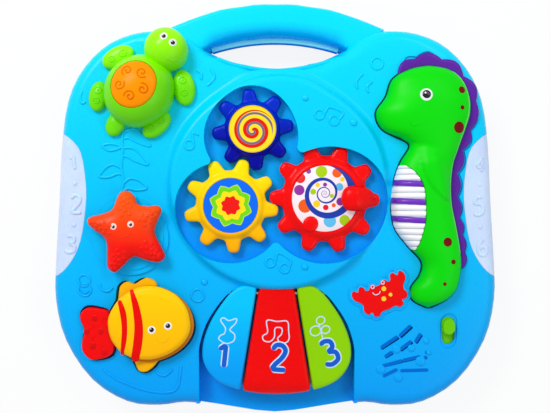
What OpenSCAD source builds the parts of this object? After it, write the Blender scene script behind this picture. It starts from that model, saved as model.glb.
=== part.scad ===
// Musical activity table top, lying flat: two moulded shells with a carrying handle, three meshing toy
// gears, a turtle with a push button in its back, a starfish spinner, a fish push button, a seahorse
// relief, three music keys, light panels, loudspeaker and power switch.
// +Z is up, +Y points to the handle, the origin is under the middle at the rubber feet's lower faces.

/* [Body] */
// Width over both sides
body_w = 380; // [372:1:400]
// Front edge of the body, in front of the middle
front_d = 176; // [172:1:186]
// Rear edge of the two rear lobes, behind the middle
lobe_d = 153; // [150:1:156]
// Middle of the body's rear edge, under the handle
gap_d = 116.5; // [114:0.5:119]
// Height of the parting line between the shells
part_z = 24; // [22:1:27]
// Height of the playing face
face_z = 45; // [44:0.5:48]
// Wall of both shells
wall = 2.6; // [2:0.1:3.2]
// Thickness of the playing face
face_t = 3.8; // [3.4:0.1:4.2]
// Height of the rubber feet
foot_h = 2; // [1.5:0.25:3]

/* [Handle] */
// Radius of the handle's outer edge
handle_r = 222; // [216:1:228]
// How far the handle stands out behind the rear lobes
handle_out = 23; // [22:0.5:24]
// Width of the handle's grip, seen from above
handle_w = 26; // [22:1:30]
// Height of the handle's upper face
handle_z = 38; // [34:1:42]
// Height of the handle's lower face
handle_z0 = 6; // [4:1:10]
// Half of the angle that the handle's arch covers
handle_a = 24.5; // [24:0.5:24.5]

/* [Gears] */
// Radius of the raised round platform
deck_r = 87; // [84:0.5:90]
// Height of the platform's upper face
deck_z = 53; // [51:0.5:55]
// Height of the gear pocket's floor
pocket_z = 41.5; // [41:0.5:42.5]
// Thickness of the toothed plates
gear_t = 8; // [6:0.5:9]
// Height of a tooth
tooth_h = 10.2; // [9:0.1:10.6]
// Radius of the posts that the gears turn on
post_r = 6; // [4:0.25:7]
// Radial running clearance of turning pieces on their posts
run_gap = 0.1; // [0.05:0.01:0.1]
// Thickness of the printed gear labels
label_t = 0.6; // [0.4:0.1:1]

/* [Keys] */
// Height of the keys' upper faces
key_z = 49; // [47:0.5:51]
// Height of the keys' lower edges
key_z0 = 33; // [32:0.5:35]
// Height of the floor of the key bay
bay_z = 28; // [27.5:0.5:29]
// Gap between neighbouring keys
key_gap = 1.8; // [1:0.1:2.4]
// Gap between the keys and the bay's wall
bay_gap = 2.6; // [2:0.1:3.2]
// Wall of the hollow keys
key_wall = 2.4; // [1.8:0.1:3]
// Radius of the pivot rod
rod_r = 2; // [1.5:0.1:2.5]
// Angle that a key goes down
key_press = 2.5; // [1:0.5:2.5]

/* [Buttons] */
// Travel of the turtle's shell button
turtle_travel = 2; // [1:0.5:3]
// Travel of the fish button
fish_travel = 3; // [2:0.5:3]
// Gap round the fish in its well
fish_gap = 1.8; // [1.2:0.1:2.2]
// Height of the fish's upper face
fish_z = 57; // [55:0.5:59]
// Clearance between buttons and the holes that they slide in
slide_gap = 0.3; // [0.2:0.05:0.5]
// Travel of the power switch
switch_travel = 7.6; // [5:0.1:9]

/* [Figures] */
// Radius of the turtle's back
turtle_r = 29.5; // [28:0.5:31]
// Height of the top of the turtle's back
turtle_z = 75; // [70:1:78]
// Height of the seahorse's back over the face
seahorse_h = 17; // [13:0.5:20]
// Height of the starfish's under side over the face
star_lift = 6; // [5:0.5:8]
// Thickness of the starfish
star_t = 11; // [8:0.5:14]
// Depth of the seat that the seahorse stands in
seat_d = 1.5; // [1:0.1:1.8]

/* [Leg sockets] */
// Radius of the bore for a leg
leg_r = 14; // [12:0.5:15]
// Depth of the bore for a leg
leg_d = 20; // [16:0.5:20.5]
// Wall of a socket
leg_wall = 2.4; // [1.8:0.1:3]

/* [Fasteners] */
// Radius of the screws' shafts
screw_r = 1.5; // [1.25:0.05:1.75]
// Radius of the screws' heads
head_r = 3.5; // [3:0.1:4]
// Clearance of pieces that are fastened in place
fit = 0.2; // [0.1:0.05:0.3]

/* [Hidden] */
$fn = 48;
eps = 0.01;

// Colours, as the object shows them
sky = [0.05, 0.72, 0.96];
leaf = [0.45, 0.85, 0.08];
grass = [0.05, 0.85, 0.08];
white = [0.88, 0.92, 0.98];
red = [0.93, 0.03, 0.03];
yellow = [1, 0.78, 0.02];
navy = [0.02, 0.12, 0.68];
orange = [1, 0.58, 0.02];
violet = [0.36, 0.12, 0.62];
metal = [0.7, 0.7, 0.72];
board_green = [0.05, 0.4, 0.2];

// ---- Curves and lofts ------------------------------------------------------------------------

// A point of the smooth curve from b to c, with a and d as their neighbours
function bend(a, b, c, d, t) =
    0.5 * (2 * b + (c - a) * t + (2 * a - 5 * b + 4 * c - d) * t * t
           + (3 * b - a - 3 * c + d) * t * t * t);

// A smooth closed curve through points p, with k steps from each to the next
function loop(p, k) = let (n = len(p))
    [for (i = [0:n - 1], j = [0:k - 1]) bend(p[(i + n - 1) % n], p[i], p[(i + 1) % n],
                                            p[(i + 2) % n], j / k)];

// A smooth open curve through points p, with k steps from each to the next
function line(p, k) = let (n = len(p))
    concat([for (i = [0:n - 2], j = [0:k - 1]) bend(p[max(i - 1, 0)], p[i], p[i + 1],
                                                   p[min(i + 2, n - 1)], j / k)], [p[n - 1]]);

function arc(c, r, a0, a1, k) = [for (i = [0:k]) c + r * [cos(a0 + (a1 - a0) * i / k),
                                                         sin(a0 + (a1 - a0) * i / k)]];
function turned(p, a) = [for (q = p) [q[0] * cos(a) - q[1] * sin(a), q[0] * sin(a) + q[1] * cos(a)]];
function moved(p, v) = [for (q = p) q + v];
function mirrored(p) = [for (i = [len(p) - 1:-1:0]) [-p[i][0], p[i][1]]];
function backwards(p) = [for (i = [len(p) - 1:-1:0]) p[i]];
function ellipse(a, b, k) = [for (i = [0:k - 1]) [a * cos(360 * i / k), b * sin(360 * i / k)]];

// A loop drawn in by d along its own normals; a negative d grows it
function drawn_in(p, d) = let (n = len(p))
    [for (i = [0:n - 1]) let (t = p[(i + 1) % n] - p[(i + n - 1) % n])
        p[i] - d * [t[1], -t[0]] / norm(t)];

// A loop shrunk to the share s about point c
function shrunk(p, c, s) = [for (q = p) c + (q - c) * s];

// A closed body through loops of as many points each, at rising heights; c lies inside all of them
module skin(loops, heights, c) {
    n = len(loops[0]);
    m = len(loops);
    points = concat([for (k = [0:m - 1], q = loops[k]) [q[0], q[1], heights[k]]],
                    [[c[0], c[1], heights[0]], [c[0], c[1], heights[m]]]);
    sides = [for (k = [0:m - 2], i = [0:n - 1]) let (j = (i + 1) % n, a = k * n, b = a + n)
        each [[a + i, b + i, b + j], [a + i, b + j, a + j]]];
    floor_faces = [for (i = [0:n - 1]) [m * n, i, (i + 1) % n]];
    roof_faces = [for (i = [0:n - 1]) let (a = (m - 1) * n) [m * n + 1, a + (i + 1) % n, a + i]];
    polyhedron(points, concat(sides, floor_faces, roof_faces));
}

// A body with the plan of a loop; each of levels is [height, how far the loop is drawn in]
module soft_slab(p, c, levels) {
    skin([for (l = levels) drawn_in(p, l[1])],
         concat([for (l = levels) l[0]], [levels[len(levels) - 1][0]]), c);
}

// A dome over a loop from height z0, upright to z1 and then rounded up to z2
module dome(p, c, z0, z1, z2, steps) {
    skin(concat([p], [for (i = [0:steps - 1]) shrunk(p, c, cos(90 * i / steps))]),
         concat([z0], [for (i = [0:steps - 1]) z1 + (z2 - z1) * sin(90 * i / steps)], [z2]), c);
}

// An arched body between two rails, with h[i] its height at station i, over an upright edge
module arched(left, right, h, z0, edge, across) {
    n = len(left);
    w = across + 3;
    section = function (i) concat([[left[i][0], left[i][1], z0]],
        [for (j = [0:across]) let (u = (1 - cos(180 * j / across)) / 2,
                                   q = left[i] + (right[i] - left[i]) * u)
            [q[0], q[1], z0 + edge + h[i] * pow(sin(180 * j / across), 0.8)]],
        [[right[i][0], right[i][1], z0]]);
    points = [for (i = [0:n - 1]) each section(i)];
    sides = [for (i = [0:n - 2], j = [0:w - 1]) let (a = i * w, b = a + w, k = (j + 1) % w)
        each [[a + j, b + k, b + j], [a + j, a + k, b + k]]];
    first = [[for (j = [0:w - 1]) w - 1 - j]];
    last = [[for (j = [0:w - 1]) (n - 1) * w + j]];
    polyhedron(points, concat(sides, first, last));
}

// A coil spring as one unbroken wire: outer radius r, between heights z0 and z1
module coil(r, wire, z0, z1, turns, sides = 4, steps = 8) {
    n = turns * steps;
    rise = z1 - z0 - 2 * wire;
    points = [for (i = [0:n], j = [0:sides - 1]) let (a = 360 * i / steps, b = 360 * j / sides,
                                                     q = r - wire + wire * cos(b))
        [q * cos(a), q * sin(a), z0 + wire + rise * i / n + wire * sin(b)]];
    sides_faces = [for (i = [0:n - 1], j = [0:sides - 1])
        let (a = i * sides, b = a + sides, k = (j + 1) % sides)
        each [[a + j, a + k, b + k], [a + j, b + k, b + j]]];
    first = [[for (j = [0:sides - 1]) sides - 1 - j]];
    last = [[for (j = [0:sides - 1]) n * sides + j]];
    polyhedron(points, concat(sides_faces, first, last));
}

module plate(p, z0, z1) {
    translate([0, 0, z0]) linear_extrude(z1 - z0) polygon(p);
}

module pin(c, r, z0, z1) {
    translate([c[0], c[1], z0]) cylinder(r = r, h = z1 - z0);
}

// A slot with round ends from a to b
function capsule(a, b, r) = let (t = atan2(b[1] - a[1], b[0] - a[0]))
    concat(arc(b, r, t - 90, t + 90, 8), arc(a, r, t + 90, t + 270, 8));

module slot(a, b, r, z0, z1) {
    plate(capsule(a, b, r), z0, z1);
}

module block(c, size, z0) {
    translate([c[0] - size[0] / 2, c[1] - size[1] / 2, z0]) cube(size);
}

// ---- Places and outlines ---------------------------------------------------------------------

side = body_w / 2;
floor_z = foot_h;
floor_t = wall;
cave_z = face_z - face_t;

body_half = [[48, -front_d + 5], [76, -front_d + 7.5], [98, -front_d + 4.5], [side - 62, -front_d + 8],
    [side - 32, -front_d + 27], [side - 9, -front_d + 62], [side - 0.4, -78], [side - 0.6, -45],
    [side - 3.5, 5], [side - 5.5, 50], [side - 11, lobe_d - 60], [side - 25, lobe_d - 30],
    [side - 48, lobe_d - 9], [111, lobe_d], [84, lobe_d - 6], [62, gap_d + 14], [30, gap_d + 2]];
body_loop = loop(concat([[0, -front_d]], body_half, [[0, gap_d]], mirrored(body_half)), 3);
inner_loop = drawn_in(body_loop, wall);

// The right side of the body alone, closed inwards
side_loop = concat([for (q = body_loop) if (q[0] > 150 && q[1] > -100 && q[1] < 104) q],
    [[side - 50, 104], [side - 50, -100]]);

handle_c = [0, lobe_d + handle_out - handle_r];

panel_edge = line([[side + 12, 74], [side - 6, 64], [side - 17, 57.5], [side - 26.5, 46], [side - 31, 22],
    [side - 31, 0], [side - 26.5, -28], [side - 18, -45.5], [side - 6, -56.5], [side + 12, -62]], 3);
panel_z0 = 10;

deck_c = [2.5, 22.7];
red_c = [41.4, 7.5];
yellow_c = [-36.7, 1.7];
blue_c = [-18.6, 65.2];
red_teeth = 10;
yellow_teeth = 9;
blue_teeth = 8;
red_tip = 45.8;
yellow_tip = 39.6;
blue_tip = 34.1;
red_turn = -1.5;
yellow_turn = 33.5;
blue_turn = 5;
pocket_gap = 3.6;
cusp_r = 4;
gear_z = pocket_z + 0.8;
gear_top = gear_z + gear_t;
hub_h = 2.6;
screw_head_h = 1.6;
washer_r = post_r + 2.5;
post_top = gear_top - 1.4;
knob_c = [64, 7.5];

turtle_c = [-112.6, 96.5];
turtle_turn = 56.5;
head_c = [-90.2, 130.8];
head_radius = 17.7;
shell_z0 = 60;
flange_h = 2;

star_c = [-119.5, -21.5];
star_disc_r = 33.4;
star_disc_h = 2;
star_step_r = 29.2;
star_step_h = 1;
journal_r = 7;
boss_depth = 3.5;

fish_c = [-103, -97];
fish_mid_z = 50;
fish_low_z = 39;
well_z = 33;
stem_r = 6;

switch_c = [145, -103];
slider_w = 10.8;
slider_l = 15;
switch_slot_l = slider_l + switch_travel;
switch_z = cave_z - 2.6;

key_c = 1.4;
rod_y = -72;
rod_z = 39;
rod_l = 94;

socket_c = [[-128, 82], [128, 82], [-122, -122], [122, -122]];
foot_c = [[-88, 120], [88, 120], [-84, -150], [84, -150], [-165, 0], [165, 0]];
screw_c = [[-60, 98], [60, 98], [-158, 100], [158, 100], [-176, -80], [176, -80], [-96, -158],
    [96, -158], [0, 10]];
screw_boss_r = 4.4;
battery_c = [0, 62];
battery_l = 50.5;
cell_r = 7.1;
battery_size = [68, battery_l + 5.6, 17];
door_size = [76, 72];

// ---- Shells ----------------------------------------------------------------------------------

panel_plan = concat(panel_edge, [[side + 30, -62], [side + 30, 74]]);

module panel_region(grow, z0 = panel_z0) {
    translate([0, 0, z0]) linear_extrude(face_z + 10) offset(r = grow) polygon(panel_plan);
}

module both_sides() {
    children();
    mirror([1, 0, 0]) children();
}

// The upper body, before it is hollowed: nearly upright at the parting line, softly rounded to the face
module upper_form(p = body_loop, c = [0, 0], foot = [[part_z - 2, -1.8 / (face_z - 9 - part_z)]]) {
    soft_slab(p, c, concat(foot, [[face_z - 9, 0.9], [face_z - 5, 3], [face_z - 2.4, 5.6],
        [face_z - 0.8, 9], [face_z, 13.5]]));
}

module lower_form() {
    soft_slab(body_loop, [0, 0], [[floor_z, 8], [floor_z + 1, 4.4], [floor_z + 3.6, 1.6],
        [floor_z + 8, 0], [part_z + 2, 0]]);
}

// The arch of the handle as a profile turned about the handle's own centre
module handle_arch(profile) {
    translate([handle_c[0], handle_c[1], 0]) rotate([0, 0, 90 - handle_a])
        rotate_extrude(angle = 2 * handle_a, $fn = 160) polygon(profile);
}

function upper_grip(r0, r1, z1, round_out, round_in) = concat([[r0, part_z - 2], [r1, part_z - 2]],
    arc([r1 - round_out, z1 - round_out], round_out, 0, 90, 5),
    arc([r0 + round_in, z1 - round_in], round_in, 90, 180, 4));
function lower_grip(r0, r1, z0, round_out) = concat([[r1, part_z + 2], [r0, part_z + 2]],
    arc([r0 + round_out, z0 + round_out], round_out, 180, 270, 4),
    arc([r1 - round_out, z0 + round_out], round_out, 270, 360, 4));

// The raised platform: a turned disc with a hollow round at its foot and a soft upper edge
module deck() {
    foot_round = 6;
    edge_round = 5.5;
    profile = concat([[0, cave_z], [deck_r + foot_round, cave_z]],
        arc([deck_r + foot_round, face_z + foot_round], foot_round, 270, 225, 3),
        arc([deck_r - edge_round, deck_z - edge_round], edge_round, 15, 90, 5), [[0, deck_z]]);
    translate([deck_c[0], deck_c[1], 0]) rotate_extrude($fn = 120) polygon(profile);
}

// The three round pockets as one opening, with the platform's cusps between them rounded
module gear_pockets(z0, z1, grow) {
    translate([0, 0, z0]) linear_extrude(z1 - z0) offset(r = grow - cusp_r) offset(delta = cusp_r) {
        translate(red_c) circle(r = red_tip + pocket_gap, $fn = 72);
        translate(yellow_c) circle(r = yellow_tip + pocket_gap, $fn = 72);
        translate(blue_c) circle(r = blue_tip + pocket_gap - 1.2, $fn = 72);
    }
}

// Plan of the three keys together, and of the bay round them
keys_half = [[29, -153.5], [50, -144.5], [60.5, -131], [61.8, -115], [56, -97], [47, -82], [37, -70],
    [27, -64.8], [14, -66.3]];
keys_loop = moved(loop(concat([[0, -157.5]], keys_half, [[0, -66.8]], mirrored(keys_half)), 4),
                  [key_c, 0]);

module bay_plan(grow) {
    right = concat([[62.6, -front_d - 16], [62.6, -150], [62.6, -128]],
        [for (q = keys_half) if (q[1] > -118) q]);
    translate([key_c, 0]) offset(r = bay_gap + grow)
        polygon(line(concat(right, [[0, -66.8]], mirrored(right)), 3));
}

module fish_plan(grow) {
    offset(r = fish_gap + grow) {
        polygon(fish_loop);
        polygon(fins_loop);
        polygon(tail_loop);
    }
}

module screw_bosses(z0, z1) {
    for (c = screw_c) pin(c, screw_boss_r, z0, z1);
}

module top_shell() {
    color(sky) {
        difference() {
            difference() {
                union() {
                    difference() {
                        union() {
                            upper_form();
                            handle_arch(upper_grip(handle_r - handle_w, handle_r, handle_z, 9, 4));
                            deck();
                        }
                        block([0, 0], [500, 500, 10], part_z - 10);
                        plate(inner_loop, part_z - 3, face_z - 11.3);
                        plate(drawn_in(body_loop, wall + 5), face_z - 12.4, cave_z);
                    }
                    inner_ribs();
                }
                gear_pockets(pocket_z, deck_z + 1, 0);
                translate([0, 0, bay_z]) linear_extrude(deck_z) bay_plan(0);
                translate([0, 0, well_z]) linear_extrude(deck_z) fish_plan(0);
                both_sides() panel_region(fit);
            }
            figure_seat();
            small_openings();
        }
        for (c = [red_c, yellow_c, blue_c]) gear_post(c);
    }
}

// What stands in the hollow of the upper shell, and the raised grounds on its face
module inner_ribs() {
    gear_floor();
    intersection() {
        tubs();
        plate(drawn_in(body_loop, wall - 0.6), part_z - 10, face_z);
    }
    star_stand();
    crab_stand();
    screw_bosses(part_z + 1, cave_z + 1);
    for (x = [-1, 1]) {
        pin(switch_c + [x * 12.5, 0], 2.6, switch_z, cave_z + 1);
        pin(switch_c + [x * 12.5, 0], 1.35, switch_z - 2.6, cave_z + 1);
    }
}

module small_openings() {
    pin(fish_c, stem_r + slide_gap, part_z, well_z + 1);
    pin(star_c, journal_r + run_gap, part_z, face_z + 10);
    switch_openings();
    grille_slots();
    for (c = screw_c) pin(c, screw_r + 0.05, part_z, cave_z - 2);
    for (k = [0:2]) pin(plunger_c[k], plunger_r + 0.8, part_z - 1, bay_z + 1);
    rod(fit / 4, 0.3);
}

module gear_post(c) {
    difference() {
        union() {
            pin(c, post_r, pocket_z - 1, post_top);
            pin(c, post_r + 3, pocket_z - 1, gear_z - 0.3);
        }
        pin(c, screw_r + 0.05, pocket_z + 1, post_top + 1);
    }
}

module gear_floor() {
    intersection() {
        gear_pockets(pocket_z - wall, cave_z + 1, wall);
        pin(deck_c, deck_r - 1, pocket_z - wall, cave_z + 1);
    }
}

// Walls and floors of the key bay and the fish well, under the face
module tubs() {
    translate([0, 0, bay_z - wall]) linear_extrude(cave_z - bay_z + wall + 1) bay_plan(wall);
    translate([0, 0, well_z - wall]) linear_extrude(cave_z - well_z + wall + 1) fish_plan(wall);
}

module star_stand() {
    pin(star_c, star_disc_r, face_z - 1, face_z + star_disc_h);
    pin(star_c, star_step_r, face_z - 1, face_z + star_disc_h + star_step_h);
    pin(star_c, journal_r + 4, cave_z - boss_depth, cave_z + 1);
}

module crab_stand() {
    translate([0, 0, face_z - 1]) linear_extrude(1.6) offset(r = 2.4) polygon(crab_loop);
}

module switch_openings() {
    half = (switch_slot_l - slider_w) / 2;
    slot(switch_c - [0, half], switch_c + [0, half], slider_w / 2 + slide_gap, part_z, face_z + 1);
    slot(switch_c - [0, half + 1.5], switch_c + [0, half + 1.5], slider_w / 2 + 2, face_z - 1.2,
         face_z + 1);
}

grille = [[[-19.5, 5], [-7, 13.5]], [[-4, 15], [4, 22.5]], [[9, 10], [12.5, 15.5]],
    [[-3.5, 3.5], [4.5, 9.5]], [[-16, -2.5], [-11.5, 0.5]], [[-18, -10.5], [-3, -6.5]],
    [[-1, -6], [12, -3]], [[-17.5, -19], [-7.5, -14]], [[-3, -14.7], [18.5, -14.2]],
    [[18, 0.5], [18.2, 0.7]], [[17, -3.6], [17.2, -3.4]]];
grille_c = [109, 54 - front_d];

module grille_slots() {
    for (g = grille) slot(grille_c + g[0], grille_c + g[1], 1.2, cave_z - 1, face_z + 1);
}

module figure_seat() {
    translate([0, 0, face_z - seat_d]) linear_extrude(seat_d + 12) offset(r = 0.8) {
        polygon(seahorse_loop);
        polygon(fin_loop);
    }
}

module bottom_shell() {
    color(sky) difference() {
        union() {
            difference() {
                union() {
                    lower_form();
                    handle_arch(lower_grip(handle_r - handle_w - 1.2, handle_r, handle_z0, 7));
                }
                plate(drawn_in(body_loop, wall + 5), floor_z + floor_t, floor_z + 9);
                plate(inner_loop, floor_z + 7.3, part_z + 3);
                block([0, 0], [500, 500, 10], part_z);
            }
            for (c = socket_c) pin(c, leg_r + leg_wall + wall, floor_z + 1, floor_z + leg_d + 4.8);
            screw_bosses(floor_z + 1, part_z + 1);
            for (c = board_posts) pin(c, 2.5, floor_z + 1, board_z);
            for (c = key_posts) pin(c, 2.5, floor_z + 1, key_board_z);
            intersection() {
                both_sides() panel_shelf();
                plate(drawn_in(body_loop, 0.6), floor_z + 3, part_z - 0.5);
            }
        }
        for (c = socket_c) pin(c, leg_r + leg_wall + fit / 4, floor_z - 1, floor_z + leg_d + 2.4);
        for (c = screw_c) {
            pin(c, screw_r + 0.3, floor_z - 1, part_z + 2);
            pin(c, head_r + 0.4, floor_z - 1, head_seat_z);
        }
        block(battery_c, [door_size[0] + 2 * fit, door_size[1] + 2 * fit, 1.7], floor_z - 0.1);
        block(battery_c, [battery_size[0] - 6, battery_size[1] - 4, floor_t + 2], floor_z - 1);
        both_sides() panel_region(fit);
        pin(door_screw_c, screw_r + 0.2, floor_z - 1, floor_z + 12);
    }
}

// A ledge that closes the lower shell under each light panel
module panel_shelf() {
    difference() {
        translate([0, 0, panel_z0 - wall]) linear_extrude(part_z - panel_z0 + wall)
            offset(r = fit + wall) polygon(panel_plan);
        block([side, 6], [52, 96, 40], panel_z0 + 4);
    }
}

head_seat_z = floor_z + 8;
screw_tip_z = part_z + 10;

module screw(c, z_head, z_tip, r = screw_r, rh = head_r, hh = 2) {
    difference() {
        union() {
            pin(c, r, z_head, z_tip);
            pin(c, rh, z_head - hh, z_head);
        }
        block(c, [rh * 1.3, 0.8, 1.2], z_head - hh - 0.2);
        block(c, [0.8, rh * 1.3, 1.2], z_head - hh - 0.2);
    }
}

module case_screws() {
    color(metal) for (c = screw_c) screw(c, head_seat_z, screw_tip_z);
}

module light_panel() {
    color(white) difference() {
        intersection() {
            upper_form(side_loop, [side - 45, 0], [[panel_z0, 0], [part_z, 0]]);
            panel_region(0);
        }
        intersection() {
            union() {
                plate(drawn_in(side_loop, wall), panel_z0 - 1, face_z - 12);
                plate(drawn_in(side_loop, wall + 5), face_z - 13, cave_z);
            }
            panel_region(-wall, panel_z0 - 1);
        }
    }
}

module right_light_panel() { light_panel(); }
module left_light_panel() { mirror([1, 0, 0]) light_panel(); }

// ---- Gears -----------------------------------------------------------------------------------

function tanh(x) = (exp(2 * x) - 1) / (exp(2 * x) + 1);

// Outline of a toy gear: the radius follows a rounded wave between root and tip, one wave a tooth
tooth_round = 1.6;
tooth_slim = 0.2;
function tooth_wave(u) = (tanh(tooth_round * (u - tooth_slim)) + tanh(tooth_round * (1 + tooth_slim)))
    / (tanh(tooth_round * (1 - tooth_slim)) + tanh(tooth_round * (1 + tooth_slim)));
function gear_loop(teeth, tip, turn, less) = let (k = 12) [for (i = [0:teeth * k - 1])
    let (a = 360 * i / (teeth * k), r = tip - less - tooth_h + tooth_h * tooth_wave(cos(teeth * a)))
    r * [cos(a + turn), sin(a + turn)]];

module gear_wheel(teeth, tip, turn, label_r) {
    rim = label_r + 2.6;
    difference() {
        union() {
            skin([for (less = [0, 0, 0.5, 1.5]) gear_loop(teeth, tip, turn, less)],
                 [gear_z, gear_top - 1.5, gear_top - 0.5, gear_top, gear_top], [0, 0]);
            rotate_extrude($fn = 96) polygon(concat([[0, gear_z + 1], [rim + 1.4, gear_top - 0.2]],
                arc([rim + 1.4, gear_top + 1.4], 1.4, 270, 180, 3),
                arc([rim - 1, gear_top + hub_h - 1], 1, 0, 90, 3), [[0, gear_top + hub_h]]));
        }
        pin([0, 0], label_r + fit / 2, gear_top + hub_h - 1.1, gear_top + hub_h + 1);
        pin([0, 0], washer_r + 0.6, post_top - 0.3, gear_top + hub_h);
        pin([0, 0], post_r + run_gap, gear_z - 1, gear_top);
    }
}

module gear_label(r) {
    pin([0, 0], r, gear_top + hub_h - 1.1, gear_top + hub_h - 1.1 + label_t);
}

red_label_r = 27.4;
yellow_label_r = 22.6;
blue_label_r = 19.6;

module red_gear() {
    color(red) {
        translate([red_c[0], red_c[1], 0]) gear_wheel(red_teeth, red_tip, red_turn, red_label_r);
        crank_knob();
    }
}

// The egg-shaped knob on one tooth: narrower towards the tooth's tip
module crank_knob() {
    egg = loop([[15.4, 0], [9, 5.6], [0, 9], [-9, 8], [-13.4, 0], [-9, -8], [0, -9], [9, -5.6]], 3);
    dome(moved(egg, knob_c), knob_c, gear_top - 0.5, gear_top + 8, gear_top + 13.5, 5);
}

module yellow_gear() {
    color(yellow) translate([yellow_c[0], yellow_c[1], 0])
        gear_wheel(yellow_teeth, yellow_tip, yellow_turn, yellow_label_r);
}

module blue_gear() {
    color(navy) translate([blue_c[0], blue_c[1], 0])
        gear_wheel(blue_teeth, blue_tip, blue_turn, blue_label_r);
}

module red_gear_label() {
    color("white") difference() {
        translate([red_c[0], red_c[1], 0]) gear_label(red_label_r);
        plate(moved(loop([[16.2, 0], [9.5, 6.4], [0, 9.8], [-9.8, 8.8], [-14.2, 0], [-9.8, -8.8],
            [0, -9.8], [9.5, -6.4]], 4), knob_c), gear_z, gear_top + 10);
    }
}
module yellow_gear_label() {
    color([0.1, 0.45, 0.9]) translate([yellow_c[0], yellow_c[1], 0]) gear_label(yellow_label_r);
}
module blue_gear_label() {
    color([1, 0.85, 0.1]) translate([blue_c[0], blue_c[1], 0]) gear_label(blue_label_r);
}

module gear_screws() {
    color(metal) for (c = [red_c, yellow_c, blue_c]) difference() {
        union() {
            pin(c, washer_r, post_top, post_top + 0.8);
            pin(c, head_r, post_top + 0.8, post_top + 0.8 + screw_head_h);
            pin(c, screw_r, pocket_z + 1.5, post_top + 1);
        }
        block(c, [head_r * 1.3, 0.8, 1.2], post_top + 0.8 + screw_head_h - 0.9);
        block(c, [0.8, head_r * 1.3, 1.2], post_top + 0.8 + screw_head_h - 0.9);
    }
}

// ---- Turtle ----------------------------------------------------------------------------------

back_loop = turned(ellipse(turtle_r * 1.04, turtle_r * 0.96, 36), turtle_turn);
shell_loop = turned(ellipse(19.6, 18, 48), turtle_turn);
shell_c = turtle_c + [-1.2, 2.8];

module turtle_back(less) {
    dome(moved(drawn_in(back_loop, less), turtle_c), turtle_c, face_z, face_z + 7, turtle_z - less, 6);
}

// Flippers and tail: [centre, half length, half width, direction of the length]
flippers = [[[-131, 125.5], 14, 8.4, 28], [[-76, 100], 14.8, 9.2, 98], [[-147.5, 92.8], 12.4, 7.6, 80],
    [[-98.8, 69], 14, 8.2, 42], [[-132.8, 70], 11, 7.6, 62]];

module turtle_body() {
    color(leaf) difference() {
        union() {
            turtle_back(0);
            skin_head();
            for (f = flippers)
                dome(moved(turned(ellipse(f[1], f[2], 16), f[3]), f[0]), f[0], face_z, face_z + 3,
                     face_z + 7, 3);
        }
        pin(turtle_c, turtle_r - 5.5, face_z - 1, shell_z0 + slide_gap);
        plate(moved(drawn_in(shell_loop, -slide_gap), shell_c), face_z - 1, turtle_z + 5);
    }
}

module skin_head() {
    dome(moved(ellipse(head_radius, head_radius, 28), head_c), head_c, face_z, face_z + 9,
         face_z + 9 + 15, 5);
}

module turtle_shell() {
    color(orange) {
        intersection() {
            turtle_back(0.2);
            plate(moved(shell_loop, shell_c), shell_z0, turtle_z + 5);
        }
        plate(moved(drawn_in(shell_loop, -1.6), shell_c), shell_z0 - flange_h, shell_z0 + eps);
    }
}

module turtle_spring() {
    color(metal) translate([shell_c[0], shell_c[1], 0])
        coil(10, 0.6, face_z, shell_z0 - flange_h, 5);
}

// ---- Starfish --------------------------------------------------------------------------------

// Arm tips and the hollows between them, from the spinner's axis
star_loop = moved(loop([[-2.8, 35.4], [-9, 33], [-14.5, 20.6], [-22, 16.6], [-33.5, 13.4], [-35, 8.4],
    [-31, 4.4], [-20.3, -4.6], [-19, -18], [-18.6, -27.5], [-13.4, -32], [-8, -28.6], [2.6, -19],
    [12, -21.5], [23.4, -23.6], [28.6, -18.8], [26, -11.8], [20, 1], [22.6, 10.8], [25.8, 18.8],
    [22.4, 23.2], [14, 22.6], [6, 24.6], [3, 31.5]], 2), star_c);
star_z = face_z + star_lift;

module starfish() {
    color([0.95, 0.25, 0.08]) {
        dome(star_loop, star_c, star_z, star_z + 3.5, star_z + star_t, 4);
        pin(star_c, journal_r + 2.5, face_z + star_disc_h + star_step_h + 0.4, star_z + 1);
        difference() {
            pin(star_c, journal_r, cave_z - boss_depth - 0.4, star_z + 1);
            pin(star_c, screw_r + 0.05, cave_z - boss_depth - 1, face_z);
        }
    }
}

module star_washer() {
    z = cave_z - boss_depth - 0.4;
    color(metal) {
        pin(star_c, journal_r + 3, z - 1, z);
        pin(star_c, screw_r, z - 1, face_z - 0.5);
        pin(star_c, head_r, z - 1 - screw_head_h, z - 1);
    }
}

// ---- Fish ------------------------------------------------------------------------------------

fish_loop = loop([[-67.3, -99], [-70.6, -84.2], [-81, -72.6], [-97, -65.4], [-112.5, -65.8],
    [-128, -75], [-136.6, -88], [-137.9, -98.5], [-134.5, -110.5], [-125.5, -121], [-113, -127],
    [-100, -127.6], [-84.6, -122], [-72.6, -112]], 3);
fins_loop = loop([[-70, -99], [-74, -86], [-84, -75], [-96.4, -69.4], [-99.4, -62], [-107, -58.6],
    [-113.4, -61.6], [-117.2, -63.8], [-123.5, -61.8], [-129, -66], [-130.6, -77], [-134, -88],
    [-135, -99], [-132, -110.5], [-124.5, -120], [-117.6, -126.6], [-113.6, -135.4], [-107, -136.6],
    [-100.6, -132], [-96, -126.4], [-84.6, -120], [-74.6, -111]], 3);
tail_loop = loop([[-136, -100], [-138, -87.6], [-146, -84.4], [-156.6, -83.6], [-162, -88.5],
    [-161.6, -95], [-158.6, -102.6], [-160.6, -111], [-160.6, -119], [-154.8, -126],
    [-146.6, -126.4], [-136, -122.4], [-133.6, -112]], 3);

module fish_body() {
    color(yellow) soft_slab(fish_loop, fish_c, [[fish_mid_z, 0], [fish_z - 2.6, 0],
        [fish_z - 1.2, 0.7], [fish_z - 0.4, 2], [fish_z, 4]]);
}

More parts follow.
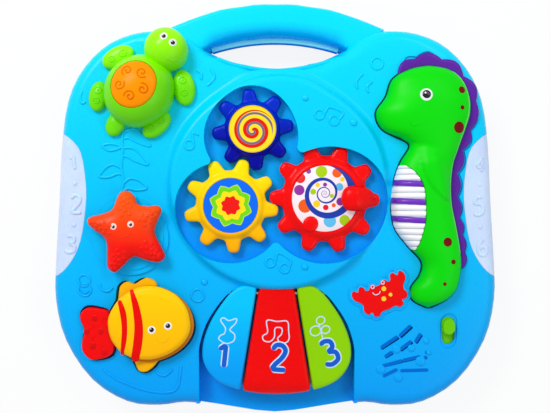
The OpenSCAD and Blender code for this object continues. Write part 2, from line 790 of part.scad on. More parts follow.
module fish_fins() {
    color([1, 0.7, 0.02]) {
        soft_slab(fins_loop, fish_c, [[fish_low_z, 0], [fish_mid_z - 1, 0], [fish_mid_z, 1]]);
        difference() {
            pin(fish_c, stem_r, well_z - wall - 0.4, fish_low_z + 1);
            pin(fish_c, screw_r + 0.05, well_z - wall - 1, well_z + 5);
        }
    }
}

module fish_tail() {
    color(red) difference() {
        soft_slab(tail_loop, [-148, -105], [[fish_low_z, 0], [fish_mid_z - 1.6, 0],
            [fish_mid_z - 0.5, 0.7], [fish_mid_z, 2.2]]);
        plate(drawn_in(fins_loop, -0.05), fish_low_z - 1, fish_mid_z + 1);
        for (c = [[-150, -92], [-141.5, -94], [-150.5, -100.5], [-150, -109], [-143, -117],
                  [-151, -117.5]])
            pin(c, 2, fish_mid_z - 0.7, fish_mid_z + 1);
    }
}

module fish_washer() {
    z = well_z - wall - 0.4;
    color(metal) {
        pin(fish_c, stem_r + 3, z - 1, z);
        pin(fish_c, screw_r, z - 1, z + 7);
        pin(fish_c, head_r, z - 1 - screw_head_h, z - 1);
    }
}

module fish_spring() {
    color(metal) translate([fish_c[0], fish_c[1], 0]) coil(stem_r + 4, 0.35, well_z, fish_low_z, 3);
}

// ---- Seahorse --------------------------------------------------------------------------------

// Front and back of the figure from head to tail, and the height of its back at each pair
sea_front = [[127, 118.4], [112, 115.2], [98.4, 107], [92.8, 92.4], [84.6, 79], [90, 65.5],
    [106.5, 57.4], [112.6, 51], [105, 37.5], [99.6, 21], [97.6, 3], [100.4, -16.5], [111, -31.5],
    [122.6, -45], [121.4, -56.5], [114, -67.5], [115.2, -77], [126, -82.8]];
sea_back = [[129, 118.4], [145.6, 114.6], [156.6, 105.5], [162, 92], [162.6, 79], [159.4, 67.5],
    [154.6, 54.5], [151.6, 46], [148.4, 36], [146.6, 20], [147.2, 3], [150.8, -15], [153.8, -32],
    [155, -46], [153.8, -58], [150.4, -69], [142, -77], [129, -82.8]];
sea_rise = [0.12, 0.52, 0.8, 0.94, 1, 0.96, 0.86, 0.8, 0.84, 0.9, 0.92, 0.9, 0.84, 0.78, 0.78, 0.78,
    0.6, 0.15];
sea_l = line(sea_front, 2);
sea_r = line(sea_back, 2);
seahorse_loop = concat(backwards(sea_l), sea_r);
sea_z = face_z - seat_d;
sea_edge = 3;

// The ribbed belly: a part of the figure's front, seen from above
belly_plan = concat(line([[103.4, 35.8], [110, 33.6], [117, 27], [121.6, 18], [123.4, 8], [123.6, -8],
    [121.4, -22], [117.2, -34.6]], 2), [[112, -40], [88, -30], [88, 30]]);
belly_from = 7;
belly_to = 13;
ribs = 10;

module seahorse_body() {
    color(grass) difference() {
        arched(sea_l, sea_r, [for (h = line(sea_rise, 2)) h * seahorse_h], sea_z, sea_edge, 9);
        translate([0, 0, sea_z - 1]) linear_extrude(40) offset(r = fit) polygon(belly_plan);
    }
}

// The same arch a little lower, with its height rising and falling along the way
module seahorse_belly() {
    part = function (p) [for (i = [belly_from:belly_to]) p[i]];
    k = 7;
    h = line(part(sea_rise), k);
    color("white") intersection() {
        arched(line(part(sea_front), k), line(part(sea_back), k),
            [for (i = [0:len(h) - 1]) h[i] * seahorse_h - 1.8 + 1.7 * abs(sin(90 * ribs * i / (len(h) - 1)
                * 2))], sea_z, sea_edge, 9);
        plate(belly_plan, sea_z - 1, sea_z + 40);
    }
}

// The scalloped fin behind the back: one bump a span, round outwards
fin_marks = [[108, 115.5], [119, 125.5], [139.5, 124], [157.5, 110], [168.4, 89], [164.4, 64],
    [158, 47.5], [153.4, 28.5], [153, 9], [154, -8.5], [156.6, -23], [158.4, -37], [157.6, -50]];
fin_bulge = [5.4, 6, 6.4, 6, 5, 4, 4, 3.6, 3.4, 3, 2.6, 2.4];
function bump(a, b, h, k) = let (w = b - a, out = [-w[1], w[0]] / norm(w))
    [for (j = [0:k - 1]) a + w * j / k + out * h * sin(180 * j / k)];
fin_edge = concat([for (i = [0:len(fin_marks) - 2]) each bump(fin_marks[i], fin_marks[i + 1],
    fin_bulge[i], 6)], [fin_marks[len(fin_marks) - 1]]);
fin_loop = concat(fin_edge, [[150, -52], [140, 0], [140, 60], [140, 100], [120, 108]]);
fin_t = 5;

module seahorse_fin() {
    color(violet) difference() {
        plate(fin_loop, sea_z, sea_z + fin_t);
        translate([0, 0, sea_z - 1]) linear_extrude(fin_t + 2) offset(delta = fit)
            polygon(seahorse_loop);
    }
}

// ---- Keys ------------------------------------------------------------------------------------

plunger_r = 3;
plunger_c = [[-36, -118], [key_c, -122], [39, -118]];
key_board_z = 9;
pad_h = 3;
plunger_z = key_board_z + 1.6 + pad_h + 2.4;
key_split = [14.2, 0.172];

// The third of the plan that key k (0 left, 1 middle, 2 right) takes
module key_plan(k, less) {
    y0 = -66;
    y1 = -front_d;
    g = key_gap / 2 + less;
    x0 = key_split[0];
    x1 = key_split[0] + (y0 - y1) * key_split[1];
    intersection() {
        polygon(drawn_in(keys_loop, less));
        translate([key_c, 0])
            if (k == 1) polygon([[g - x0, y0 + 8], [x0 - g, y0 + 8], [x1 - g, y1], [g - x1, y1]]);
            else mirror([k == 0 ? 1 : 0, 0])
                polygon([[x0 + g, y0 + 8], [90, y0 + 8], [90, y1], [x1 + g, y1]]);
    }
}

// Side view of a key: flat, then rolled down at the front
function key_side(drop) = concat([[-60, key_z0 - 1], [-60, key_z - drop]],
    [for (i = [0:6]) [-143 + drop - 15 * sin(15 * i), key_z - drop - 12 + 12 * cos(15 * i)]],
    [[-158.2 + drop, key_z0 - 1]]);

module key_form(k, less, z0, drop) {
    intersection() {
        translate([0, 0, z0]) linear_extrude(30) key_plan(k, less);
        translate([-100, 0, 0]) rotate([90, 0, 90]) linear_extrude(200) polygon(key_side(drop));
    }
}

module key(k) {
    difference() {
        key_form(k, 0, key_z0, 0);
        key_form(k, key_wall, key_z0 - 5, key_wall);
        rod(run_gap, 10);
    }
    pin(plunger_c[k], plunger_r, plunger_z, key_z - key_wall + eps);
}

module rod(grow, longer) {
    translate([key_c - rod_l / 2 - longer, rod_y, rod_z]) rotate([0, 90, 0])
        cylinder(r = rod_r + grow, h = rod_l + 2 * longer);
}

module blue_key() { color(sky) key(0); }
module red_key() { color(red) key(1); }
module green_key() { color([0.6, 0.85, 0.05]) key(2); }
module key_pivot_rod() { color(metal) rod(0, 0); }

module key_spring(k) {
    color(metal) translate([plunger_c[k][0], plunger_c[k][1], 0])
        coil(plunger_r + 2.2, 0.5, bay_z, key_z - key_wall, 5);
}
module blue_key_spring() { key_spring(0); }
module red_key_spring() { key_spring(1); }
module green_key_spring() { key_spring(2); }

key_posts = [[-44, -106], [-44, -128], [46, -106], [46, -128]];

module key_board() {
    color(board_green) block([1, -117], [100, 32, 1.6], key_board_z);
}

module key_contact_pads() {
    color([0.3, 0.3, 0.32]) for (c = plunger_c)
        translate([c[0], c[1], key_board_z + 1.6]) cylinder(r1 = 5, r2 = 3.5, h = pad_h);
}

// ---- Badge, speaker and switch ---------------------------------------------------------------

// A plain crab: a round body with two claws and four legs, in one outline
crab_half = [[0, -9.5], [6.5, -8.6], [9, -12.4], [12.4, -11], [11, -6.2], [15.6, -7], [17, -3.4],
    [13, -1.6], [13.6, 2], [19.4, 4.6], [22.6, 10], [20.4, 15.2], [16.4, 11.4], [12.8, 14.4],
    [12.6, 8.6], [10, 6.6], [5.6, 8.4], [5.4, 12], [2.6, 12.4], [2.2, 8.8]];
crab_c = [87.6, -71.6];
crab_loop = moved(turned(loop(concat(crab_half, [for (i = [len(crab_half) - 1:-1:1])
    [-crab_half[i][0], crab_half[i][1]]]), 2), 24), crab_c);

module crab_badge() {
    color(red) plate(crab_loop, face_z + 0.6, face_z + 1);
}

speaker_r = 24;
speaker_z = cave_z - 0.2;

module speaker() {
    color([0.2, 0.2, 0.22]) translate([grille_c[0] - 2, grille_c[1], 0]) rotate_extrude() polygon([
        [0, speaker_z - 13], [11, speaker_z - 13], [11, speaker_z - 9], [15, speaker_z - 8],
        [speaker_r - 3, speaker_z - 3], [speaker_r, speaker_z - 2.4], [speaker_r, speaker_z],
        [speaker_r - 2.5, speaker_z], [speaker_r - 4, speaker_z - 1.6], [9, speaker_z - 6],
        [7, speaker_z - 4.6], [0, speaker_z - 3.4]]);
}

module speaker_screws() {
    color(metal) for (a = [70, 150, 210, 290]) {
        c = grille_c + [-2, 0] + (speaker_r + 3.2) * [cos(a), sin(a)];
        pin(c, 4.6, speaker_z - 3.8, speaker_z - 2.8);
        pin(c, 1.2, speaker_z - 2.8, speaker_z + 0.2);
    }
}

module power_slider() {
    half = (slider_l - slider_w) / 2;
    c = switch_c + [0, switch_travel / 2];
    color(leaf) {
        slot(c - [0, half], c + [0, half], slider_w / 2, cave_z - 1, face_z + 0.6);
        slot(c - [0, half - 0.6], c + [0, half - 0.6], slider_w / 2 - 0.6, face_z, face_z + 4.6);
        block(c, [slider_w + 6, switch_slot_l + switch_travel + 4, 1.8],
              cave_z - 2.1);
        pin(c, 1.5, cave_z - 4.4, cave_z - 2);
    }
}

module switch_housing() {
    z = switch_z - 6.4;
    color([0.15, 0.15, 0.16]) difference() {
        union() {
            block(switch_c, [13, 30, 6.4], z);
            block(switch_c, [31, 7, 2], switch_z - 2);
        }
        block(switch_c, [4, switch_travel + 4, 4], z + 3.4);
        for (x = [-1, 1]) pin(switch_c + [x * 12.5, 0], 1.4, z, switch_z + 1);
    }
}

// ---- Electrics -------------------------------------------------------------------------------

board_z = 10;
board_c = [-4, -36];
board_size = [84, 52, 1.6];
board_posts = [for (x = [-1, 1], y = [-1, 1]) board_c + [x * 38, y * 22]];
light_board_z = panel_z0;
light_x = side - 16;

module circuit_board() {
    color(board_green) block(board_c, board_size, board_z);
}

module board_chips() {
    z = board_z + board_size[2];
    color([0.1, 0.1, 0.1]) {
        block(board_c + [-8, 4], [16, 12, 2], z);
        block(board_c + [16, -8], [9, 6, 1.6], z);
        pin(board_c + [26, 12], 4, z, z + 9);
        pin(board_c + [-28, -12], 3.2, z, z + 7);
    }
}

module light_board() {
    color(board_green) block([light_x, 3], [9, 70, 1.6], light_board_z);
}
module right_light_board() { light_board(); }
module left_light_board() { mirror([1, 0, 0]) light_board(); }

module lamps() {
    z = light_board_z + 1.6;
    color([0.95, 0.95, 0.8]) both_sides() for (y = [-24, 3, 30]) {
        pin([light_x, y], 2.5, z, z + 4);
        translate([light_x, y, z + 4]) sphere(r = 2.5);
    }
}

module battery_box() {
    z0 = floor_z + floor_t;
    color([0.12, 0.12, 0.13]) difference() {
        block(battery_c, battery_size, z0);
        block(battery_c, [battery_size[0] - 6, battery_size[1] - 4, battery_size[2] - 1.6], z0 - 0.01);
    }
}

cell_z = floor_z + floor_t + cell_r + 0.2;

module batteries() {
    color([0.2, 0.2, 0.22]) for (i = [-1:1])
        translate([battery_c[0] + i * 18, battery_c[1] - battery_l / 2, cell_z]) rotate([-90, 0, 0]) {
            cylinder(r = cell_r, h = battery_l - 1.2);
            cylinder(r = 2.7, h = battery_l);
        }
}

module battery_contacts() {
    color([0.8, 0.75, 0.5]) for (i = [-1:1], s = [-1, 1])
        block(battery_c + [i * 18, s * (battery_l / 2 + 0.45)], [10, 0.5, 10], cell_z - 5);
}

module battery_door() {
    color(sky) difference() {
        union() {
            block(battery_c, [door_size[0], door_size[1], 1.5], floor_z);
            block(battery_c, [battery_size[0] - 8, battery_size[1] - 6, 1.2], floor_z + 1.4);
        }
        for (i = [-3:3]) block(battery_c + [i * 6, -24], [2, 10, 0.6], floor_z - 0.01);
        pin(door_screw_c, screw_r + 0.3, floor_z - 1, floor_z + 4);
        pin(door_screw_c, head_r + 0.3, floor_z - 1, floor_z + 0.9);
    }
}

door_screw_c = battery_c + [0, door_size[1] / 2 - 5.2];

module battery_door_screw() {
    color(metal) screw(door_screw_c, floor_z + 0.9, floor_z + 10, screw_r, head_r, 0.8);
}

// ---- Leg sockets and feet --------------------------------------------------------------------

module leg_socket(c) {
    color(sky) difference() {
        pin(c, leg_r + leg_wall, floor_z, floor_z + leg_d + 2.4);
        pin(c, leg_r, floor_z - 1, floor_z + leg_d);
    }
}
module rear_left_leg_socket() { leg_socket(socket_c[0]); }
module rear_right_leg_socket() { leg_socket(socket_c[1]); }
module front_left_leg_socket() { leg_socket(socket_c[2]); }
module front_right_leg_socket() { leg_socket(socket_c[3]); }

module rubber_feet() {
    color([0.2, 0.2, 0.2]) for (c = foot_c)
        translate([c[0], c[1], 0]) rotate_extrude() polygon([[0, 0], [6.4, 0], [7.6, 0.8], [8, foot_h],
                                                           [0, foot_h]]);
}

top_shell();
bottom_shell();
left_light_panel();
right_light_panel();
red_gear();
yellow_gear();
blue_gear();
red_gear_label();
yellow_gear_label();
blue_gear_label();
gear_screws();
turtle_body();
turtle_shell();
turtle_spring();
starfish();
star_washer();
fish_body();
fish_fins();
fish_tail();
fish_washer();
fish_spring();
seahorse_body();
seahorse_belly();
seahorse_fin();
blue_key();
red_key();
green_key();
key_pivot_rod();
blue_key_spring();
red_key_spring();
green_key_spring();
key_contact_pads();
key_board();
crab_badge();
speaker();
speaker_screws();
power_slider();
switch_housing();
circuit_board();
board_chips();
left_light_board();
right_light_board();
lamps();
battery_box();
batteries();
battery_contacts();
battery_door();
battery_door_screw();
rear_left_leg_socket();
rear_right_leg_socket();
front_left_leg_socket();
front_right_leg_socket();
rubber_feet();
case_screws();
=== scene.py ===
import math
import bmesh
import bpy
import numpy as np
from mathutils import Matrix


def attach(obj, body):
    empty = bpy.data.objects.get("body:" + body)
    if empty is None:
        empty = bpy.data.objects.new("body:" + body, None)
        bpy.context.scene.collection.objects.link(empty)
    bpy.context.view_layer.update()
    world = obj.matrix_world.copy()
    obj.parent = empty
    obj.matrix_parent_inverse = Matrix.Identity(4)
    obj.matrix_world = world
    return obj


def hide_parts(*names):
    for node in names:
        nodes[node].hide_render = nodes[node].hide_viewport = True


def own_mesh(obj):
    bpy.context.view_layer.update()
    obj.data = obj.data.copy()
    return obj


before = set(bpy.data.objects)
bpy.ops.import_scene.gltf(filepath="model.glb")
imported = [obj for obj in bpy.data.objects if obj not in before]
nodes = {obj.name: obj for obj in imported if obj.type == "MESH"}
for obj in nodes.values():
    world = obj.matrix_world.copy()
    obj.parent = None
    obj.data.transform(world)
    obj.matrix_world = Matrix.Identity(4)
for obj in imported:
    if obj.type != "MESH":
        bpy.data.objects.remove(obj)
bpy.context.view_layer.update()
print("frame loaded:", len(nodes), "nodes")


# the picture's pixels a unit of slope, the lens's height over the floor, the picture's middle and width, the sensor
view = {"slope": 710, "lens": 640, "middle": (275, 207.5), "width": 550, "sensor": 36}
faceTop, deckTop = 45, 53


# outlines and curves, in millimetres seen from above

def cubicRun(a, b, c, d, steps):
    # a cubic from b to c whose slope at each is half the chord between its neighbours
    t = (np.arange(steps) / steps)[None, :, None]
    a, b, c, d = (q[:, None, :] for q in (a, b, c, d))
    run = b + 0.5 * t * ((c - a) + t * ((2 * a - 5 * b + 4 * c - d) + t * (3 * (b - c) + d - a)))
    return run.reshape(-1, run.shape[-1])


def smoothLoop(points, steps):
    # the closed curve through all points, steps parts from each to the next
    p = np.asarray(points, float)
    return cubicRun(np.roll(p, 1, 0), p, np.roll(p, -1, 0), np.roll(p, -2, 0), steps)


def smoothLine(points, steps):
    # the open curve through all points, its ends taken twice
    p = np.asarray(points, float)
    q = np.vstack([p[:1], p, p[-1:]])
    return np.vstack([cubicRun(q[:-3], q[1:-2], q[2:-1], q[3:], steps), p[-1:]])


def straight(a, b, count=14):
    # points spaced evenly from a to b
    return np.asarray(a, float) + (np.asarray(b, float) - a) * np.linspace(0, 1, count)[:, None]


def mirrored(points):
    return np.asarray(points, float)[::-1] * [-1, 1]


def turned(points, degrees):
    # the plane turned about its origin, counterclockwise
    c, s = math.cos(math.radians(degrees)), math.sin(math.radians(degrees))
    return np.asarray(points, float) @ np.array([[c, s], [-s, c]])


def angles(count):
    # a full turn in even steps
    return np.linspace(0, 2 * math.pi, count, endpoint=False)


def rays(a):
    # the directions of the angles, in radians
    return np.stack([np.cos(a), np.sin(a)], -1)


def oval(centre, a, b, degrees=0, count=64):
    # half axes a and b, the first one turned by the angle
    return np.asarray(centre, float) + turned(rays(angles(count)) * [a, b], degrees)


def shrunk(outline, centre, scales):
    # the outline drawn towards the centre, once for each scale
    return centre + (outline - centre) * np.asarray(scales)[:, None, None]


def ovalShare(points, centre, a, b, degrees=0):
    # how far out a point lies, as a share of the oval's radius that way
    p = turned(np.asarray(points, float) - centre, -degrees)
    return np.hypot(p[..., 0] / a, p[..., 1] / b)


def drawnIn(loop, distance):
    # each point moved inwards at right angles to the chord of its neighbours
    t = np.roll(loop, -1, 0) - np.roll(loop, 1, 0)
    return loop - distance * np.stack([t[:, 1], -t[:, 0]], -1) / np.linalg.norm(t, axis=1)[:, None]


def edgeDistance(points, outline, closed=True):
    # the shortest way from each point to the outline's straight parts
    p = np.asarray(points, float)
    a, b = (outline, np.roll(outline, -1, 0)) if closed else (outline[:-1], outline[1:])
    way = b - a
    q = p.reshape(-1, 1, 2) - a
    t = np.clip((q * way).sum(-1) / np.maximum((way * way).sum(-1), 1e-9), 0, 1)
    return np.sqrt(((q - t[..., None] * way) ** 2).sum(-1).min(1)).reshape(p.shape[:-1])


def seenAt(pixels, height):
    # where a point of the picture lies at this height
    return (np.asarray(pixels, float) - view["middle"]) * [1, -1] * (view["lens"] - height) / view["slope"]


def cap(share):
    # the height of a ball of radius 1, at a share of the way out from its middle
    return np.sqrt(np.clip(1 - share ** 2, 0, 1))


def quarter(distance, radius):
    # a quarter circle from 0 at the edge up to 1 at the radius and further in
    return cap(1 - np.clip(distance / radius, 0, 1))


# surfaces

def between(low, high):
    # four-sided faces between the point numbers of one row and the next
    return np.stack([low, np.roll(low, -1, 1), np.roll(high, -1, 1), high], -1).reshape(-1, 4).tolist()


def skin(rows, wrap=False):
    # four-sided faces between rows of a closed section; the ends are closed by fans, or the last row meets the first
    rows = np.asarray(rows, float)
    n, m = rows.shape[:2]
    index = np.arange(n * m).reshape(n, m)
    low, high = (index, np.roll(index, -1, 0)) if wrap else (index[:-1], index[1:])
    quads, points = between(low, high), rows.reshape(-1, 3)
    if wrap:
        return points, quads
    fanLow = np.stack([np.full(m, n * m), np.roll(index[0], -1), index[0]], -1).tolist()
    fanHigh = np.stack([np.full(m, n * m + 1), index[-1], np.roll(index[-1], -1)], -1).tolist()
    return np.vstack([points, rows[[0, -1]].mean(1)]), quads + fanLow + fanHigh


def atHeight(plan, z):
    # a plan of points given its height, one number or one for each point
    return np.concatenate([plan, np.broadcast_to(np.asarray(z, float), plan.shape[:-1])[..., None]], -1)


def dome(outline, centre, foot, shoulder, top, rings=10):
    # upright to the shoulder, then rings shrinking with the cosine while they rise with the sine
    a = np.linspace(0, math.pi / 2, rings, endpoint=False)
    plan = shrunk(outline, centre, np.cos(a))
    z = (shoulder + (top - shoulder) * np.sin(a))[:, None] + np.zeros(len(outline))
    return skin(np.concatenate([[atHeight(outline, foot)], atHeight(plan, z)]))


def ribbon(path, width, height, ground, closed=False, sides=10, sink=0.4, power=1.0):
    # an oval section carried along the path on the ground below it, its ends rounded off
    p = np.asarray(path, float)
    t = np.roll(p, -1, 0) - np.roll(p, 1, 0) if closed else np.gradient(p, axis=0)
    t /= np.linalg.norm(t, axis=1)[:, None]
    left = np.stack([-t[:, 1], t[:, 0]], -1)
    half = np.broadcast_to(np.asarray(width, float) / 2, len(p))
    swell = np.ones(len(p))
    if not closed:
        s = np.concatenate([[0], np.cumsum(np.linalg.norm(np.diff(p, axis=0), axis=1))])
        swell = np.maximum(quarter(np.minimum(s, s[-1] - s), half), 0.06)
    a = angles(sides)
    plan = p[:, None] + left[:, None] * (half * swell)[:, None, None] * np.cos(a)[None, :, None]
    lift = np.where(np.sin(a) > 0, height * np.abs(np.sin(a)) ** power, sink * np.sin(a))
    return skin(atHeight(plan, ground(plan) + lift * swell[:, None]), wrap=closed)


def dot(centre, radius, height, ground, sides=28, sink=0.4):
    # a low round cap that follows the ground below it
    k = np.array([1, 0.97, 0.9, 0.78, 0.6, 0.4, 0.2, 0.06])
    ring = oval((0, 0), radius, radius, 0, sides)
    plan = np.asarray(centre, float) + ring * k[:, None, None]
    z = ground(plan) + height * np.sqrt(1 - k ** 2)[:, None]
    foot = atHeight(plan[0], ground(plan[0]) - sink)
    return skin(np.concatenate([[foot], atHeight(plan, z)]))


def plate(outline, low, high):
    # a flat sheet of any outline, its upper edge a little worn
    rows = [atHeight(outline, low), atHeight(outline, high - 0.15), atHeight(drawnIn(outline, 0.15), high)]
    index = np.arange(3 * len(outline)).reshape(3, -1)
    return np.concatenate(rows), between(index[:-1], index[1:]) + [index[0, ::-1].tolist(), index[2].tolist()]


def merged(parts):
    # several surfaces as one, the face numbers moved on
    starts = np.cumsum([0] + [len(p) for p, f in parts])
    faces = [[v + s for v in face] for (p, f), s in zip(parts, starts) for face in f]
    return np.vstack([p for p, f in parts]), faces


def addPiece(name, parts, body, finish, stands=(), sharp=42):
    # surfaces in millimetres as one smooth piece, its edges sharp above the angle
    points, faces = merged(parts)
    mesh = bpy.data.meshes.new(name)
    mesh.from_pydata((points * 0.001).tolist(), [], faces)
    mesh.polygons.foreach_set("use_smooth", np.ones(len(mesh.polygons), bool))
    mesh.set_sharp_from_angle(angle=math.radians(sharp))
    return addMesh(name, mesh, body, finish, stands)


def placed(name, data):
    # a new object in the scene
    thing = bpy.data.objects.new(name, data)
    bpy.context.scene.collection.objects.link(thing)
    return thing


def addMesh(name, mesh, body, finish, stands=()):
    # a mesh in the scene with its finish, the body it rides and the CAD nodes that it stands for
    mesh.materials.clear()
    mesh.materials.append(finish.material)
    piece = placed(name, mesh)
    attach(piece, body)
    if stands:
        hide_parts(*stands)
    return piece


def level(z):
    # a flat ground
    return lambda plan: np.full(plan.shape[:-1], float(z))


# materials

class Field:
    # one socket; arithmetic on it adds the Math node of that kind
    def __init__(self, tree, socket):
        self.tree, self.socket = tree, socket

    def __add__(self, other): return self.tree.maths("ADD", self, other)
    def __sub__(self, other): return self.tree.maths("SUBTRACT", self, other)
    def __rsub__(self, other): return self.tree.maths("SUBTRACT", other, self)
    def __mul__(self, other): return self.tree.maths("MULTIPLY", self, other)
    def __truediv__(self, other): return self.tree.maths("DIVIDE", self, other)
    def __abs__(self): return self.tree.maths("ABSOLUTE", self)
    __radd__ = __add__
    __rmul__ = __mul__


class Tree:
    # a node tree, built up from its inputs to its output
    def __init__(self, nodeTree, clear=False):
        self.nodeTree = nodeTree
        if clear:
            nodeTree.nodes.clear()

    def node(self, kind, settings, inputs, output=0):
        made = self.nodeTree.nodes.new(kind)
        for key, value in settings.items():
            setattr(made, key, value)
        for key, value in inputs.items():
            self.feed(made.inputs[key], value)
        return Field(self, made.outputs[output]) if len(made.outputs) else made

    def feed(self, socket, value):
        if isinstance(value, Field):
            self.nodeTree.links.new(value.socket, socket)
        else:
            socket.default_value = value

    def maths(self, operation, *values):
        return self.node("ShaderNodeMath", {"operation": operation}, dict(enumerate(values)))

    def blend(self, factor, first, second):
        return self.node("ShaderNodeMix", {"data_type": "RGBA"}, {0: factor, 6: first, 7: second}, 2)

    def seen(self, kind):
        # 1 for the rays of that kind
        return self.node("ShaderNodeLightPath", {}, {}, "Is %s Ray" % kind)


class Finish(Tree):
    # a material with one principled shader
    def __init__(self, name, look):
        self.material = bpy.data.materials.new(name)
        self.material.use_nodes = True
        super().__init__(self.material.node_tree)
        self.shader = self.nodeTree.nodes["Principled BSDF"]
        for socket, value in look.items():
            self.shader.inputs[socket].default_value = value
        self.place = self.node("ShaderNodeTexCoord", {}, {}, "Object")

    def give(self, **sockets):
        # the shader's own sockets, named without their spaces
        for key, value in sockets.items():
            self.feed(next(s for s in self.shader.inputs if s.name.replace(" ", "").lower() == key.lower()), value)
        return self

    def noise(self, scale, detail=2.0, rough=0.5):
        look = {"Vector": self.place, "Scale": scale, "Detail": detail, "Roughness": rough}
        return self.node("ShaderNodeTexNoise", {}, look, "Fac")

    def along(self, axis, vector=None):
        return self.node("ShaderNodeSeparateXYZ", {}, {"Vector": vector or self.place}, axis)

    def around(self, centre):
        # millimetres from a centre: two fields, across and up
        shift = (-float(centre[0]), -float(centre[1]), 0)
        look = {"Vector": self.place, "Scale": (1000, 1000, 1000), "Location": shift}
        moved = self.node("ShaderNodeMapping", {}, look)
        return self.along("X", moved), self.along("Y", moved)

    def length(self, x, y):
        return self.maths("SQRT", x * x + y * y)

    def ramped(self, value, low, high):
        # 0 below low, 1 above high
        return self.node("ShaderNodeMapRange", {"clamp": True}, {"Value": value, "From Min": low, "From Max": high})

    def under(self, value, limit, soft=0.15):
        # 1 below the limit, with a soft end
        return 1 - self.ramped(value, limit - soft, limit + soft)

    def within(self, value, low, high, soft=0.15):
        # 1 between the two limits, with soft ends
        return self.ramped(value, low - soft, low + soft) * self.under(value, high, soft)

    def relief(self, height, strength, distance):
        return self.node("ShaderNodeBump", {}, {"Height": height, "Strength": strength, "Distance": distance})


def tint(red, green, blue):
    # a colour given as on a screen, made linear
    return tuple(((c / 255 + 0.055) / 1.055) ** 2.4 if c > 10 else c / 255 / 12.92 for c in (red, green, blue)) + (1.0,)


def mouldedPlastic(name, colour, deeper, rough=0.24, gloss=0.12, paintedLight=None, spread=(-0.17, 0.17), grain=0.05,
                   low=None, below=0.034, where=None):
    # toy plastic: a broad drift of colour, faint flow marks, a fine pebbled skin and unevenly polished gloss;
    # it may be painted lighter towards the handle, which is painted light, and below a height or where a mask says it
    # is painted one more colour: painted shade on the shells, the handle's lip and the fish, a painted highlight on the
    # keys' feet
    finish = Finish(name, {"IOR": 1.47, "Specular IOR Level": gloss})
    drift = finish.noise(7, 3, 0.6)
    shade = finish.blend(finish.ramped(drift, 0.3, 0.75), tint(*colour), tint(*deeper))
    # painted light: the colour turns lighter towards the handle
    if paintedLight:
        shade = finish.blend(finish.ramped(finish.along("Y") + (drift - 0.5) * 0.03, *spread), shade, tint(*paintedLight))
    # below a height or inside the mask: painted shade, and on the keys a painted highlight
    if low:
        height = finish.along("Z")
        paintedLowShare = where(finish, height) if where else finish.under(height, below, 0.0004)
        shade = finish.blend(paintedLowShare, shade, tint(*low))
    flow = finish.noise(160, 2, 0.6)
    skinGrain = finish.noise(2600, 2, 0.5)
    scuffs = finish.ramped(finish.noise(60, 5, 0.7), 0.62, 0.8)
    return finish.give(baseColor=shade, roughness=rough + flow * 0.07 + scuffs * 0.05,
                       normal=finish.relief(skinGrain + flow * 0.8, grain, 0.0004))


def paintedShadeInWellsAndGrip(finish, height):
    # painted shade: 1 in the wells under the face, and running out over the round of the handle's inner side, where
    # shade falls
    x, y = finish.around((0, 0))
    wellShade = finish.under(height, 0.0426, 0.0004) * finish.under(abs(x), 94.5, 0.5) * finish.under(y, 103.5, 0.5)
    wellShade = wellShade * (1 - finish.ramped(y, 0, 90) * 0.7)
    grip = finish.under(finish.length(x, y + 36), 189, 6) * finish.ramped(y, 126, 128) * finish.under(abs(x), 57, 5)
    return finish.maths("MAXIMUM", wellShade, grip * 0.65)


# the body's plastic is painted lighter towards the handle, which is painted light; the shells' copy below it also
# carries painted shade in the wells and on the handle's inner round
skyPlastic = mouldedPlastic("skyPlastic", (0, 160, 248), (0, 152, 242), paintedLight=(0, 222, 255), grain=0.02)
shellPlastic = mouldedPlastic("shellPlastic", (0, 160, 248), (0, 152, 242), paintedLight=(0, 222, 255), grain=0.02,
                              low=(0, 150, 244), where=paintedShadeInWellsAndGrip)
# the handle lip's light cyan is a painted highlight, and below 23.8 mm it is painted shade
litLipPlastic = mouldedPlastic("litLipPlastic", (150, 246, 255), (140, 240, 255), grain=0.02, low=(0, 120, 220), below=0.0238)
# the turtle's green is painted lighter and yellower towards the top, which is painted light
leafPlastic = mouldedPlastic("leafPlastic", (114, 224, 0), (102, 216, 0), rough=0.2, gloss=0.2,
                             paintedLight=(152, 248, 0), spread=(0.1, 0.14))
orangePlastic = mouldedPlastic("orangePlastic", (255, 150, 0), (252, 140, 0), rough=0.24, gloss=0.07)
grassPlastic = mouldedPlastic("grassPlastic", (0, 222, 0), (0, 210, 2), rough=0.36, gloss=0.14)
deepOrange = mouldedPlastic("deepOrange", (232, 118, 0), (222, 108, 0), rough=0.3, gloss=0.07)
# a pale green for the painted highlight along the seahorse's back
rimHighlightGreen = mouldedPlastic("rimHighlightGreen", (130, 244, 120), (110, 236, 100), rough=0.3)
violetPlastic = mouldedPlastic("violetPlastic", (98, 38, 166), (86, 30, 150), rough=0.24)
redPlastic = mouldedPlastic("redPlastic", (246, 2, 2), (234, 0, 2), rough=0.22, gloss=0.14)
# the blue wheel's navy is painted lighter towards its top, which is painted light
navyPlastic = mouldedPlastic("navyPlastic", (0, 6, 156), (0, 2, 140), rough=0.24, gloss=0.1,
                             paintedLight=(0, 44, 196), spread=(0.046, 0.088))
# the yellow wheel is painted lighter towards its top, which is painted light
sunPlastic = mouldedPlastic("sunPlastic", (255, 176, 0), (252, 168, 0), rough=0.24,
                            paintedLight=(255, 226, 0), spread=(-0.035, 0.03))
# the fish is painted lighter towards its top, which is painted light, and darker amber below 53.2 mm, which is painted
# shade on its side
fishPlastic = mouldedPlastic("fishPlastic", (255, 188, 0), (252, 180, 0), rough=0.3,
                             paintedLight=(255, 208, 0), spread=(-0.12, -0.06), low=(196, 116, 0), below=0.0532)
amberPlastic = mouldedPlastic("amberPlastic", (250, 184, 0), (244, 172, 0), rough=0.3)
